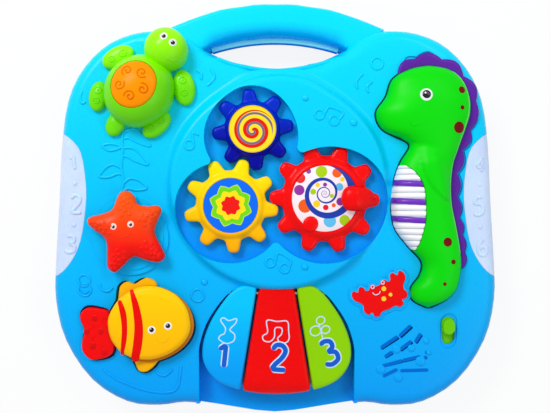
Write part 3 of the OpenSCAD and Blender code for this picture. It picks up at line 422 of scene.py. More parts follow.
# key plastics: the blue key is painted lighter at its upper end, which is painted light, and below 34 mm all three are
# painted paler, a painted highlight along the keys' feet
limePlastic = mouldedPlastic("limePlastic", (148, 214, 0), (138, 204, 0), rough=0.26, low=(206, 240, 120))
keySkyPlastic = mouldedPlastic("keySkyPlastic", (0, 160, 246), (0, 152, 240), rough=0.26,
                               paintedLight=(0, 196, 252), spread=(-0.14, -0.08), low=(140, 214, 255))
keyRedPlastic = mouldedPlastic("keyRedPlastic", (246, 2, 2), (234, 0, 2), rough=0.24, low=(255, 168, 168))
sliderPlastic = mouldedPlastic("sliderPlastic", (112, 208, 0), (100, 196, 0), rough=0.26)
# the starfish is painted lighter and more orange towards its top, which is painted light
starPlastic = mouldedPlastic("starPlastic", (246, 14, 0), (238, 6, 0), rough=0.3, gloss=0.18,
                             paintedLight=(255, 92, 0), spread=(-0.034, 0.008))
blackPlastic = mouldedPlastic("blackPlastic", (30, 30, 33), (22, 22, 25), rough=0.4, grain=0.12)
whiteEnamel = mouldedPlastic("whiteEnamel", (242, 243, 246), (232, 234, 240), rough=0.2)
pinkEnamel = mouldedPlastic("pinkEnamel", (250, 214, 208), (244, 204, 198), rough=0.24)
blackEnamel = mouldedPlastic("blackEnamel", (6, 6, 8), (10, 10, 12), rough=0.14, gloss=0.3)
maroonEnamel = mouldedPlastic("maroonEnamel", (116, 2, 0), (104, 0, 0), rough=0.34)
deepRed = mouldedPlastic("deepRed", (222, 0, 0), (208, 0, 0), rough=0.3, gloss=0.14)
redEnamel = mouldedPlastic("redEnamel", (240, 8, 0), (228, 4, 0), rough=0.3)
blueInk = mouldedPlastic("blueInk", (20, 96, 206), (16, 88, 196), rough=0.35)
# a mid blue for the painted shade of the sound slots
slotShadeBlue = mouldedPlastic("slotShadeBlue", (0, 112, 212), (0, 102, 202), rough=0.5, gloss=0.05)
# a dark teal for the painted shadow round the seahorse's foot
seamShadowPaint = mouldedPlastic("seamShadowPaint", (0, 62, 84), (0, 54, 76), rough=0.5, gloss=0.05)
whiteInk = mouldedPlastic("whiteInk", (206, 226, 252), (196, 218, 248), rough=0.4)
butterInk = mouldedPlastic("butterInk", (255, 214, 60), (250, 204, 48), rough=0.35)


def milkyPlastic():
    # frosted light cover: clouded white with a cold tinge, softly wavy from the lamps' ribs behind it
    finish = Finish("milkyPlastic", {"IOR": 1.49, "Specular IOR Level": 0.3,
                                     "Subsurface Weight": 0.25, "Subsurface Scale": 0.004})
    cloud = finish.noise(26, 4, 0.6)
    wave = finish.noise(90, 2, 0.4)
    colour = finish.blend(finish.ramped(cloud, 0.3, 0.7), tint(196, 216, 252), tint(210, 226, 252))
    return finish.give(baseColor=colour, roughness=0.3 + wave * 0.12,
                       normal=finish.relief(wave, 0.12, 0.001))


def brightSteel(name, colour, turns):
    # zinc-plated steel: brushed rings of roughness and small darker spots
    finish = Finish(name, {"Metallic": 1.0})
    streak = finish.node("ShaderNodeTexWave", {"wave_type": "RINGS", "rings_direction": "Z"},
                         {"Vector": finish.place, "Scale": turns, "Distortion": 3.0, "Detail": 2.0}, "Fac")
    spots = finish.noise(420, 4, 0.7)
    shade = finish.blend(finish.ramped(spots, 0.45, 0.75), colour, tint(120, 120, 126))
    return finish.give(baseColor=shade, roughness=0.24 + streak * 0.12 + spots * 0.1,
                       normal=finish.relief(streak, 0.05, 0.0002))


def softRubber(name, colour, deeper):
    # rubber: matt, finely pitted, with pale dust
    finish = Finish(name, {"IOR": 1.52})
    dust = finish.ramped(finish.noise(70, 5, 0.75), 0.5, 0.8)
    pits = finish.noise(1900, 2, 0.5)
    shade = finish.blend(dust * 0.35, finish.blend(pits, colour, deeper), tint(120, 118, 114))
    return finish.give(baseColor=shade, roughness=0.62 + dust * 0.2, normal=finish.relief(pits, 0.3, 0.0004))


def solderBoard():
    # green lacquer over copper runs laid out as a grid, with solder spots
    finish = Finish("solderBoard", {"IOR": 1.5, "Coat Weight": 0.3})
    runs = finish.node("ShaderNodeTexBrick", {"offset": 0.37, "squash": 1.4},
                       {"Vector": finish.place, "Color1": (0, 0, 0, 1), "Color2": (0, 0, 0, 1),
                        "Mortar": (1, 1, 1, 1), "Scale": 120, "Mortar Size": 0.09}, "Fac")
    spots = finish.node("ShaderNodeTexVoronoi", {}, {"Vector": finish.place, "Scale": 240}, "Distance")
    solder = 1 - finish.ramped(spots, 0.14, 0.2)
    lacquer = finish.blend(runs, tint(10, 84, 42), tint(32, 122, 66))
    return finish.give(baseColor=finish.blend(solder, lacquer, tint(190, 192, 196)), metallic=solder * 0.9,
                       roughness=0.34 - solder * 0.1, normal=finish.relief(runs + solder, 0.25, 0.0003))


def clearLamp():
    # small moulded lens, watery white with a warm core
    finish = Finish("clearLamp", {"IOR": 1.5, "Coat Weight": 0.6})
    cloud = finish.noise(300, 3, 0.5)
    return finish.give(baseColor=finish.blend(cloud, tint(236, 236, 214), tint(250, 250, 240)),
                       roughness=0.12 + cloud * 0.1)


def foiledCell():
    # a battery's printed jacket: dark foil with a lighter band and fine lengthwise streaks
    finish = Finish("foiledCell", {"Metallic": 0.7})
    band = finish.within(finish.along("Y"), 0.066, 0.082, 0.0004)
    streaks = finish.noise(500, 3, 0.6)
    return finish.give(baseColor=finish.blend(band, tint(38, 40, 46), tint(196, 150, 60)),
                       roughness=0.3 + streaks * 0.15)


milky = milkyPlastic()
steel = brightSteel("steel", tint(196, 197, 202), 260)
springWire = brightSteel("springWire", tint(176, 178, 184), 700)
contactPlate = brightSteel("contactPlate", tint(206, 196, 160), 300)
rubber = softRubber("rubber", tint(40, 40, 42), tint(30, 30, 32))
carbonRubber = softRubber("carbonRubber", tint(70, 70, 74), tint(54, 54, 58))
coneCard = softRubber("coneCard", tint(46, 46, 50), tint(34, 34, 38))
board = solderBoard()
lampLens = clearLamp()
cell = foiledCell()


# printed gear labels

labelArt = {
    "red": {"centre": (41.4, 7.5), "eye": (-0.2, 4.2), "growth": 1.17, "start": 0.379,
            "spots": [(-2.9, 22.3, 4.8, (168, 204, 0)), (9.9, 21.2, 3.9, (240, 92, 20)),
                      (-13.6, 22.6, 2.1, (146, 46, 156)), (-20.5, 16.9, 4.2, (228, 8, 16)),
                      (-21.3, 7.0, 4.3, (146, 46, 156)), (-16.5, -6.2, 5.6, (240, 92, 20)),
                      (4.0, -18.6, 5.2, (96, 192, 238)), (16.3, -18.0, 4.4, (168, 204, 0)),
                      (12.7, -2.6, 3.3, (146, 46, 156)), (11.9, 9.6, 3.2, (96, 192, 238)),
                      (-6.1, 11.2, 1.8, (246, 206, 30)), (0.0, 11.5, 1.7, (146, 46, 156)),
                      (-9.8, 5.6, 2.4, (168, 204, 0)), (-6.9, -4.4, 2.9, (246, 206, 30)),
                      (0.6, -7.4, 2.3, (222, 20, 40)), (7.2, -5.6, 1.7, (240, 92, 20)), (5.6, 2.2, 1.7, (168, 204, 0)),
                      (14.3, 15.9, 1.9, (246, 206, 30))]},
    "yellow": {"centre": (-36.7, 1.7), "points": 8, "sharp": 0.2, "turn": 5,
               "rings": [(18.2, (190, 230, 40)), (17.3, (110, 214, 20)), (13.2, (255, 222, 20)), (8.3, (236, 16, 10))]},
    "blue": {"centre": (-18.6, 65.2), "pitch": 8.0, "start": 0.376, "eye": (0.6, -1.6)},
}


def labelBase(name):
    # satin printed card, and its paper grain
    finish = Finish(name, {"IOR": 1.45, "Specular IOR Level": 0.2})
    grain = finish.noise(1500, 3, 0.6)
    return finish.give(roughness=0.34 + grain * 0.08, normal=finish.relief(grain, 0.05, 0.0002)), grain


def polar(finish, centre):
    # distance in millimetres and the angle as a share of a full turn
    x, y = finish.around(centre)
    return finish.length(x, y), finish.maths("ARCTAN2", y, x) / (2 * math.pi) + 0.5, x, y


def spiralDots(art):
    # round spots under one arm that widens outwards: the turn goes with the logarithm of the distance from its eye
    finish, grain = labelBase("spiralDots")
    x, y = finish.around(art["centre"])
    colour = finish.blend(grain, tint(250, 240, 244), tint(242, 230, 236))
    for across, up, size, shade in art["spots"]:
        colour = finish.blend(finish.under(finish.length(x - across, y - up), size), colour, tint(*shade))
    r, a, x, y = polar(finish, np.add(art["centre"], art["eye"]))
    phase = finish.maths("FRACT", a - finish.maths("LOGARITHM", r, math.e) * art["growth"] - art["start"])
    half = finish.ramped(r, 6, 20) * 0.07 + 0.1
    arm = finish.under(abs(phase - 0.5) - half, 0, 0.012)
    return finish.give(baseColor=finish.blend(arm, colour, tint(24, 58, 166)))


def starRings(art):
    # the distance is stretched by a saw-tooth of the angle, so its rings are stars
    finish, grain = labelBase("starRings")
    r, a, x, y = polar(finish, art["centre"])
    saw = abs(finish.maths("FRACT", (a + (1 - art["turn"] / 360)) * art["points"]) * 2 - 1)
    reach = r / (1 - art["sharp"] * saw)
    colour = finish.blend(grain, tint(0, 110, 244), tint(0, 100, 234))
    for limit, shade in art["rings"]:
        colour = finish.blend(finish.under(reach, limit), colour, tint(*shade))
    return finish.give(baseColor=colour)


def twinSpiral(art):
    # two arms side by side of even pitch: the turn goes with the distance from an eye beside the middle
    finish, grain = labelBase("twinSpiral")
    r, a, x, y = polar(finish, np.add(art["centre"], art["eye"]))
    phase = finish.maths("FRACT", a + r / art["pitch"] - art["start"] + 1)
    rim = finish.length(x + art["eye"][0], y + art["eye"][1])
    inside = 1 - finish.ramped(rim, 17.8, 18.2)
    colour = finish.blend(grain, tint(255, 228, 40), tint(252, 218, 26))
    taper = finish.ramped(r, 13.5, 18.5) * 0.18
    red = (1 - finish.ramped(phase + taper, 0.66, 0.7)) * finish.ramped(phase - taper, 0.28, 0.32) * inside
    grey = finish.within(phase, 0.06, 0.3, 0.02) * (1 - finish.ramped(rim, 16.6, 17.2))
    colour = finish.blend(grey, finish.blend(red, colour, tint(224, 20, 6)), tint(112, 100, 140))
    edge = finish.within(rim, 18.9, 19.4, 0.15)
    return finish.give(baseColor=finish.blend(edge, colour, tint(226, 176, 10)))


# the CAD pieces that stay, dressed

def softenGroup(degrees):
    # joins the loose triangles and leaves only the steeper edges sharp
    group = bpy.data.node_groups.new("softenByAngle%d" % degrees, "GeometryNodeTree")
    for way in ("INPUT", "OUTPUT"):
        group.interface.new_socket("Geometry", in_out=way, socket_type="NodeSocketGeometry")
    tree = Tree(group)
    source = tree.node("NodeGroupInput", {}, {})
    shape = tree.node("GeometryNodeMergeByDistance", {}, {"Geometry": source, "Distance": 0.00001})
    angle = tree.node("GeometryNodeInputMeshEdgeAngle", {}, {}, "Unsigned Angle")
    steep = tree.node("FunctionNodeCompare", {"data_type": "FLOAT", "operation": "GREATER_THAN"},
                      {"A": angle, "B": math.radians(degrees)})
    for domain, look in (("FACE", {"Shade Smooth": True}), ("EDGE", {"Shade Smooth": False, "Selection": steep})):
        shape = tree.node("GeometryNodeSetShadeSmooth", {"domain": domain}, {"Geometry": shape, **look})
    tree.node("NodeGroupOutput", {}, {0: shape})
    return group


soften = softenGroup(32)


def evened(piece):
    # smooth but for the steeper edges, with normals weighted by the size of the faces
    piece.modifiers.new("soften", "NODES").node_group = soften
    even = piece.modifiers.new("evenNormals", "WEIGHTED_NORMAL")
    even.keep_sharp, even.weight = True, 60


def dress(finish, *names):
    for name in names:
        for place in nodes[name].material_slots:
            place.material = finish.material
        evened(nodes[name])


dress(skyPlastic, "battery_door", "rear_left_leg_socket", "rear_right_leg_socket", "front_left_leg_socket",
      "front_right_leg_socket")
dress(starRings(labelArt["yellow"]), "yellow_gear_label")
dress(twinSpiral(labelArt["blue"]), "blue_gear_label")
dress(steel, "gear_screws", "battery_door_screw", "speaker_screws", "star_washer", "fish_washer",
      "key_pivot_rod")
dress(springWire, "turtle_spring", "fish_spring", "blue_key_spring", "red_key_spring", "green_key_spring")
dress(amberPlastic, "fish_fins")
dress(redPlastic, "fish_tail")
dress(sliderPlastic, "power_slider")
dress(blackPlastic, "switch_housing", "battery_box", "board_chips")
dress(board, "circuit_board", "key_board", "left_light_board", "right_light_board")
dress(lampLens, "lamps")
dress(cell, "batteries")
dress(contactPlate, "battery_contacts")
dress(coneCard, "speaker")
dress(carbonRubber, "key_contact_pads")
dress(rubber, "rubber_feet")

springs = {
    "joints": {"turtle_spring": ("turtle_press", 2.0), "fish_spring": ("fish_press", 3.0),
               "blue_key_spring": ("left_key_press", None), "red_key_spring": ("middle_key_press", None),
               "green_key_spring": ("right_key_press", None)},
    "rod": -72, "keyTurn": 2.5,
}


def squashSpring(name, travel):
    # how far a spring would shorten: its button's travel, or for a key its turn times the way from the rod to the
    # spring's far side; the spring only gets a mesh of its own, left unchanged
    points = np.array([v.co for v in nodes[name].data.vertices]) * 1000
    low, high = points.min(0), points.max(0)
    travel = travel or math.tan(math.radians(springs["keyTurn"])) * (springs["rod"] - low[1])
    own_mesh(nodes[name])


for name, (joint, travel) in springs["joints"].items():
    squashSpring(name, travel)
print("CAD pieces dressed")


# the playing face as a ground for what stands on it

bodyHalf = [[48, -169.5], [76, -166], [98, -168.5], [125.5, -165.5], [155.5, -147], [178.5, -113], [187.1, -78],
            [186.9, -45], [184, 5], [182, 50], [176.5, 91], [162.5, 120], [139.5, 141], [111, 150], [98, 150.3],
            [86, 148], [62, 135], [28, 122.6]]
bodyOutline = smoothLoop(np.vstack([[[0, -176]], bodyHalf, [[0, 117.0]], mirrored(bodyHalf)]), 4)
faceRim = ([0.9, 3, 5.6, 9, 13.5], [36, 40, 42.6, 44.2, 45])
deckCentre = (2.5, 22.7)
deckEdge = ([81.5, 84.3, 86.2, 87, 88.8, 91, 93], [53, 52.2, 50.3, 48.2, 46.8, 45.4, 45])


def faceHeight(plan):
    # the face falls off towards the outline and rises to the round platform
    away = np.hypot(plan[..., 0] - deckCentre[0], plan[..., 1] - deckCentre[1])
    deck = np.where(away < deckEdge[0][-1], np.interp(away, *deckEdge), 0)
    return np.maximum(np.interp(edgeDistance(plan, bodyOutline), *faceRim), deck)


# the shells' rim and handle, drawn to the outline of the real toy

rimFit = {
    "rim": [((0, -176), (0, -176)), ((48, -171), (48, -169.5)), ((76, -168.5), (76, -166)),
            ((98, -171.5), (98, -168.5)), ((128, -168), (125.5, -165.5)), ((158, -149), (155.5, -147)),
            ((181, -114), (178.5, -113)), ((189.6, -78), (187.1, -78)), ((189.4, -45), (186.9, -45)),
            ((186.5, 5), (184, 5)), ((184.5, 50), (182, 50)), ((179, 93), (176.5, 91)), ((165, 123), (162.5, 120)),
            ((142, 144), (139.5, 141)), ((111, 153), (111, 150)), ((97, 151.4), (98, 150.3)),
            ((88, 148.4), (90, 150.2)), ((0, 116.5), (0, 117.0)), ((30, 118.5), (28, 122.6)),
            ((50, 125.2), (45, 127.2)), ((62, 130.5), (54, 131.2)), ((70, 136), (60, 134.2))],
    "outer": [(0, 0), (31, 31), (61, 61), (75, 75), (85, 85.5), (92.06, 93.5)],
    "inner": [(0, 0), (20, 18.4), (40, 36.4), (55, 48.6), (66, 56.6)],
    "arcs": {"outer": [(222, 210)], "inner": [(194.8, 179.5), (196, 182.2), (200, 191)]}, "centres": (-46, -36),
    "grip": {"radius": 198, "reach": 2.3, "foot": 24, "behind": 100, "end": 62, "fade": 12,
             "heights": ([24, 34, 38], [24, 27, 38])},
    "still": [(0, -150), (40, -146), (66, -132), (92, -140), (122, -140), (148, -118), (160, -78), (160, -45), (156, 5),
              (156, 50), (152, 88), (138, 106), (116, 118), (92, 114), (60, 104), (40, 104), (20, 104), (0, 104)],
}


def rimPairs():
    # places in the shells and where they come to lie, both halves; the handle's lie on arcs about a centre each
    pairs = list(rimFit["rim"]) + [(spot, spot) for spot in rimFit["still"]]
    before, after = rimFit["centres"]
    onArc = lambda x, centre, radius: (x, centre + math.sqrt(radius ** 2 - x ** 2))
    for side, radii in rimFit["arcs"].items():
        for old, new in radii:
            pairs += [(onArc(x, before, old), onArc(moved, after, new)) for x, moved in rimFit[side]]
    pairs += [((-a[0], a[1]), (-b[0], b[1])) for a, b in pairs if a[0] > 0]
    return np.array([a for a, b in pairs], float), np.array([b for a, b in pairs], float)


def plateBasis(plan, places):
    # r squared times log r from each place, and a plane
    r2 = ((plan[:, None] - places[None]) ** 2).sum(-1)
    return np.hstack([r2 * np.log(r2 + 1e-9), np.ones((len(plan), 1)), plan])


def fittedRim(nodeNames, body, finish):
    # a thin bent plate through the pairs moves each point of a copy sideways; the grip's inner round grows broader
    before, after = rimPairs()
    n, grip = len(before), rimFit["grip"]
    system = np.zeros((n + 3, n + 3))
    system[:n] = plateBasis(before, before)
    system[n:, :n] = system[:n, n:].T
    weights = np.linalg.solve(system, np.vstack([after - before, np.zeros((3, 2))]))
    for name in nodeNames:
        mesh = nodes[name].data.copy()
        merge = bmesh.new()
        merge.from_mesh(mesh)
        bmesh.ops.remove_doubles(merge, verts=merge.verts, dist=0.000005)
        merge.to_mesh(mesh)
        merge.free()
        points = np.empty(len(mesh.vertices) * 3)
        mesh.vertices.foreach_get("co", points)
        points = points.reshape(-1, 3)
        x, y, z = (points * 1000).T
        near = np.abs(np.hypot(x, y - rimFit["centres"][0]) - grip["radius"]) < grip["reach"]
        near = near & (z > grip["foot"]) & (y > grip["behind"])
        share = np.clip((grip["end"] - np.abs(x)) / grip["fade"], 0, 1) * near
        points[:, 2] += share * (np.interp(z, *grip["heights"]) - z) / 1000
        points[:, :2] += plateBasis(points[:, :2] * 1000, before) @ weights / 1000
        mesh.vertices.foreach_set("co", points.ravel())
        evened(addMesh(name + "Fitted", mesh, body, finish, [name]))


fittedRim(["top_shell", "bottom_shell"], "base", shellPlastic)
fittedRim(["left_light_panel", "right_light_panel"], "base", milky)
fittedRim(["case_screws"], "base", steel)


def handleLip():
    # the lower half of the handle stands out a little inside the upper one: a flat band round the handle's centre
    a = np.radians(np.linspace(-17.6, 17.6, 60))
    section = np.array([(177.9, 20.5), (182.9, 20.5), (182.9, 24.3), (182.4, 24.6), (179.6, 24.6), (179, 24.2),
                        (177.9, 22.4)])
    plan = section[None, :, :1] * np.stack([np.sin(a), np.cos(a)], -1)[:, None] + [0, rimFit["centres"][1]]
    return skin(atHeight(plan, section[:, 1]))


addPiece("handleLip", [handleLip()], "base", litLipPlastic)
gapEdge = smoothLine([(-50, 126), (-37, 121.1), (-26, 118.7), (-13.4, 116.5), (1, 115.4), (14, 116.3), (26.5, 118.3),
                      (37, 120.8), (48, 124)], 8)
addPiece("gapBead", [ribbon(gapEdge, 4, 2.6, level(40), sides=16, sink=5)], "base", skyPlastic)
print("rim fitted")


# gears

gearLook = {
    "red": {"centre": (41.4, 7.5), "teeth": 10, "tip": 45.8, "turn": -1.5, "label": 27.4, "rounding": 1.9,
            "slimness": 0.12},
    "yellow": {"centre": (-36.7, 1.7), "teeth": 9, "tip": 39.6, "turn": 33.5, "label": 22.6, "rounding": 1.9,
               "slimness": 0.13},
    "blue": {"centre": (-18.6, 65.2), "teeth": 8, "tip": 34.1, "turn": 6, "label": 19.6, "rounding": 1.6,
             "slimness": -0.04},
    "toothHeight": 10.2, "collar": 2.85, "foot": 42.3, "shoulder": 47.6, "crown": 2.5, "seat": 51.8, "ledge": 48.6,
    "bore": 6.1, "hole": 9.1,
}


def toothWave(u, k, s):
    # a cosine squeezed by a hyperbolic tangent, from 0 at the root to 1 at the tip
    return (np.tanh(k * (u - s)) + math.tanh(k * (1 + s))) / (math.tanh(k * (1 - s)) + math.tanh(k * (1 + s)))


def gearSurface(look):
    # rings from the bore out under the teeth, up and over them, up the collar (a cosine slope between the teeth's
    # roots and the label), down to the label's seat and the bore
    a = angles(look["teeth"] * 26)
    way = rays(a + math.radians(look["turn"]))
    wave = toothWave(np.cos(look["teeth"] * a), look["rounding"], look["slimness"])
    toothed = (look["tip"] - gearLook["toothHeight"] * (1 - wave))[:, None] * way
    root, seat = look["tip"] - gearLook["toothHeight"] - 0.4, look["label"] + 0.1
    sizes = ("foot", "shoulder", "seat", "ledge", "bore", "hole")
    foot, shoulder, bed, ledge, bore, hole = (gearLook[key] for key in sizes)

    def height(plan):
        climb = np.clip((root - np.hypot(plan[..., 0], plan[..., 1])) / (root - seat - 0.9), 0, 1)
        rounded = shoulder + gearLook["crown"] * quarter(edgeDistance(plan, toothed), 4.6)
        return rounded + gearLook["collar"] * (1 - np.cos(math.pi * climb)) / 2

    rows = [(way * bore, foot), (toothed - 0.6 * way, foot), (toothed, 42.9), (toothed, 45), (toothed, shoulder)]
    plans = [toothed * (1 - share) + way * (root - 1) * share for share in (np.arange(1, 17) / 16) ** 1.35]
    plans += [way * ((root - 1) * (1 - share) + (seat + 0.9) * share) for share in np.arange(1, 10) / 9]
    rows += [(plan, height(plan)) for plan in plans]
    inner = ((seat + 0.35, 52.85), (seat + 0.08, 52.5), (seat, bed), (hole, bed), (hole, ledge), (bore, ledge))
    rows = np.array([atHeight(plan, z) for plan, z in rows + [(way * r, z) for r, z in inner]])
    rows[..., :2] += np.array(look["centre"])
    return skin(rows, wrap=True)


knobLook = {"centre": (66.6, 7.5), "foot": 49.8, "shoulder": 57.2, "rise": 6.6, "nose": 0.6, "stop": (29.4, -13.6),
            "egg": [[16.4, 0], [13.8, 5.8], [7.4, 9.4], [-1, 10.6], [-9, 8.8], [-12.4, 0], [-9, -8.8], [-1, -10.6],
                    [7.4, -9.4], [13.8, -5.8]]}


def crankKnob():
    # the egg-shaped grip, waisted above its foot and sloping down to its nose, and the small round stop opposite
    egg = smoothLoop(knobLook["egg"], 8)
    centre, foot, shoulder = np.array(knobLook["centre"]), knobLook["foot"], knobLook["shoulder"]
    a = np.linspace(0, math.pi / 2, 14, endpoint=False)
    size = np.concatenate([[1, 0.985, 0.965, 0.96, 0.97, 0.985], 0.985 * np.cos(a[1:]) ** 0.8])
    z = np.concatenate([[foot, 50.6, 52, 54, 56, shoulder], shoulder + knobLook["rise"] * np.sin(a[1:])])
    plan = egg * size[:, None, None]
    low = 1 - knobLook["nose"] * np.clip(plan[..., 0] / knobLook["egg"][0][0], 0, 1) ** 1.4
    knob = skin(atHeight(centre + plan, foot + (z[:, None] - foot) * low))
    stop = dome(oval(knobLook["stop"], 6.6, 6.2, 60), np.array(knobLook["stop"]), 51.9, 53.0, 54.6, 8)
    return [knob, stop]


def labelDisc(look):
    # a thin disc with a worn edge, lying in the hub's seat
    centre, radius = np.array(look["centre"]), look["label"]
    ring = oval((0, 0), radius, radius, 0, 120)
    shares, z = np.array([1, 1, 0.993, 0.6, 0.2]), np.array([gearLook["seat"], 52.25, 52.4, 52.4, 52.4])
    return skin(atHeight(centre + ring * shares[:, None, None], z[:, None]))


addPiece("redGearWheel", [gearSurface(gearLook["red"])] + crankKnob(), "red_wheel", redPlastic,
         ["red_gear"])
addPiece("redGearLabel", [labelDisc(gearLook["red"])], "red_wheel", spiralDots(labelArt["red"]),
         ["red_gear_label"])
addPiece("yellowGearWheel", [gearSurface(gearLook["yellow"])], "yellow_wheel", sunPlastic,
         ["yellow_gear"])
addPiece("blueGearWheel", [gearSurface(gearLook["blue"])], "blue_wheel", navyPlastic, ["blue_gear"])
print("gears made")


# turtle

turtleLook = {
    "centre": (-112.6, 96.5), "axes": (30.68, 28.32), "turn": 56.5, "shoulder": 52, "rise": 23,
    "insert": (-113.8, 99.3), "insertAxes": (19.6, 18), "cavity": 24, "ceiling": 60.3, "wallFoot": 60.5,
    "head": (-90.2, 130.8), "headRadius": 17.7, "neck": 54, "brow": 15,
    "flippers": [[(-131, 125.5), 14, 8.4, 28], [(-76, 100), 14.8, 9.2, 98], [(-147.5, 92.8), 12.4, 7.6, 80],
                 [(-98.8, 69), 14, 8.2, 42], [(-132.8, 70), 11, 7.6, 62]],
    "wrist": 48, "flipperRise": 4,
    "curls": [(-118.4, 110), (-106.4, 108.4), (-124.8, 98.8), (-105.6, 94.8), (-116, 89.2)],
    "eyes": [(-89.8, 138.5), (-82.5, 133.3)],
}


def backHeight(plan):
    # half an ellipsoid standing on an upright edge
    rho = ovalShare(plan, turtleLook["centre"], *turtleLook["axes"], turtleLook["turn"])
    return turtleLook["shoulder"] + turtleLook["rise"] * cap(rho)


def headHeight(plan):
    radius = turtleLook["headRadius"]
    rho = ovalShare(plan, turtleLook["head"], radius, radius)
    return turtleLook["neck"] + turtleLook["brow"] * cap(rho)


def flipperHeight(flipper):
    centre, a, b, degrees = flipper
    return lambda plan: turtleLook["wrist"] + turtleLook["flipperRise"] * cap(ovalShare(plan, centre, a, b, degrees))


def turtleBack():
    # rings from the outline over the dome to the insert's hole, down its wall, out under the dome and down again
    look = turtleLook
    outer = oval(look["centre"], *look["axes"], look["turn"], 120)
    hole = oval(look["insert"], look["insertAxes"][0] + 0.3, look["insertAxes"][1] + 0.3, look["turn"], 120)
    share = (1 - np.cos(np.linspace(0, math.pi / 2, 26)))[:, None, None]
    plan = outer * (1 - share) + hole * share
    z = backHeight(plan)
    z[-1] -= 0.5
    plan[-2] = drawnIn(hole, -0.5)
    z[-2] = backHeight(plan[-2])
    radius = look["cavity"]
    cavity = oval(look["centre"], radius, radius, look["turn"], 120)
    under = np.where(ovalShare(hole, look["centre"], radius, radius)[:, None] < 1, cavity, hole)
    rows = [atHeight(outer, faceTop)] + list(atHeight(plan, z))
    rows += [atHeight(hole, look["wallFoot"]), atHeight(under, look["ceiling"]), atHeight(cavity, faceTop)]
    return skin(rows, wrap=True)


def spiral(centre, radius, turns, start, steps=46):
    # the distance grows with the angle
    t = np.linspace(0.12, 1, steps)
    a = math.radians(start) + 2 * math.pi * turns * t
    return np.asarray(centre, float) + (radius * t)[:, None] * rays(a)


def turtlePieces():
    # the back, the head and the flippers with their rings on the face, then the insert that is the button
    look = turtleLook
    radius, neck, wrist = look["headRadius"], look["neck"], look["wrist"]
    head = oval(look["head"], radius, radius, 0, 72)
    parts = [turtleBack(), dome(head, np.array(look["head"]), faceTop, neck, neck + look["brow"], 14)]
    for centre, a, b, degrees in look["flippers"]:
        flipper = oval(centre, a, b, degrees, 56)
        parts.append(dome(flipper, np.array(centre), faceTop, wrist, wrist + look["flipperRise"]))
    for flipper in look["flippers"][:4]:
        ground = flipperHeight(flipper)
        for along, size in ((0.38, 2.9), (-0.34, 2.5)):
            spot = np.array(flipper[0]) + turned(np.array([along * flipper[1], 0]), flipper[3])
            parts.append(ribbon(oval(spot, size, size * 0.92, 20, 36), 1.0, 0.55, ground, closed=True))
            parts.append(dot(spot, 0.8, 0.5, ground, 16))
    smile = smoothLine([(-87.6, 121.0), (-83.6, 119.2), (-79.4, 120.4), (-77.0, 123.6)], 8)
    parts.append(ribbon(smile, 1.0, 0.35, headHeight))
    addPiece("turtleBody", parts, "base", leafPlastic, ["turtle_body"])

    edge = oval(look["insert"], *look["insertAxes"], look["turn"], 96)
    centre = np.array(look["insert"])
    plan = shrunk(edge, centre, 1 - np.arange(16) / 16)
    z = backHeight(plan) - 0.15
    z[0] -= 0.45
    plan[1] = drawnIn(edge, 0.5)
    z[1] = backHeight(plan[1]) - 0.15
    flange = drawnIn(edge, -1.6)
    rows = [atHeight(flange, 58), atHeight(flange, 60), atHeight(edge, 60)] + list(atHeight(plan, z))
    addPiece("turtleInsert", [skin(rows)], "turtle_button", orangePlastic, ["turtle_shell"])
    curls = [ribbon(spiral(spot, 4.8, 1.55, 40 + 77 * k), 0.9, 0.5, backHeight, sides=8)
             for k, spot in enumerate(look["curls"])]
    addPiece("turtleCurls", curls, "turtle_button", deepOrange)


def eyes(prefix, spots, size, ground, body, ring, pupil=0.55, shift=(0.2, -0.3)):
    # a raised white cap, a black one on it and a small white cap that is a painted glint
    for part, finish, moved, glint, radius, height, lift, sides in (
            ("EyeWhites", ring, 0, (0, 0), size, 0.5, 0, 28),
            ("Pupils", blackEnamel, 1, (0, 0), size * pupil, 0.42, 0.42, 28),
            ("Glints", whiteEnamel, 1, (-0.2 * size, 0.24 * size), size * 0.16, 0.22, 0.78, 14)):
        high = lambda plan: ground(plan) + lift
        caps = [dot(np.add(s, np.multiply(shift, moved)) + glint, radius, height, high, sides) for s in spots]
        addPiece(prefix + part, caps, body, finish)


turtlePieces()
eyes("turtle", turtleLook["eyes"], 3.1, headHeight, "base", whiteEnamel, 0.56, (0.1, -0.2))
print("turtle made")


# starfish

starLook = {
    "centre": (-119.5, -21.5), "foot": 51, "shoulder": 54, "rise": 8,
    "hub": [(9.5, 48.4, 51, 52), (7, 37.3, 48, 49)],
    "outline": [[-2.8, 35.4], [-9, 33], [-14.5, 20.6], [-22, 16.6], [-33.5, 13.4], [-35, 8.4], [-31, 4.4],
                [-20.3, -4.6], [-19, -18], [-18.6, -27.5], [-13.4, -32], [-8, -28.6], [2.6, -19], [12, -21.5],
                [23.4, -23.6], [28.6, -18.8], [26, -11.8], [20, 1], [22.6, 10.8], [25.8, 18.8], [22.4, 23.2],
                [14, 22.6], [6, 24.6], [3, 31.5]],
    "arms": [(-4.5, 35), (-34, 8.6), (-14.4, -31), (27, -20.4), (24, 20.6)],
    "bumps": [(0.44, 3.4), (0.46, -3.0), (0.55, 0.2), (0.6, 4.6), (0.62, -4.4), (0.68, 1.6), (0.72, -2.2), (0.78, 3.6),
              (0.8, 0.4), (0.84, -3.2), (0.9, 1.6), (0.94, -1.0)],
}
starOutline = smoothLoop(starLook["outline"], 7) + starLook["centre"]


def starHeight(plan):
    # puffed up: a quarter circle of the distance from the outline
    return starLook["shoulder"] + starLook["rise"] * quarter(edgeDistance(plan, starOutline), 14)


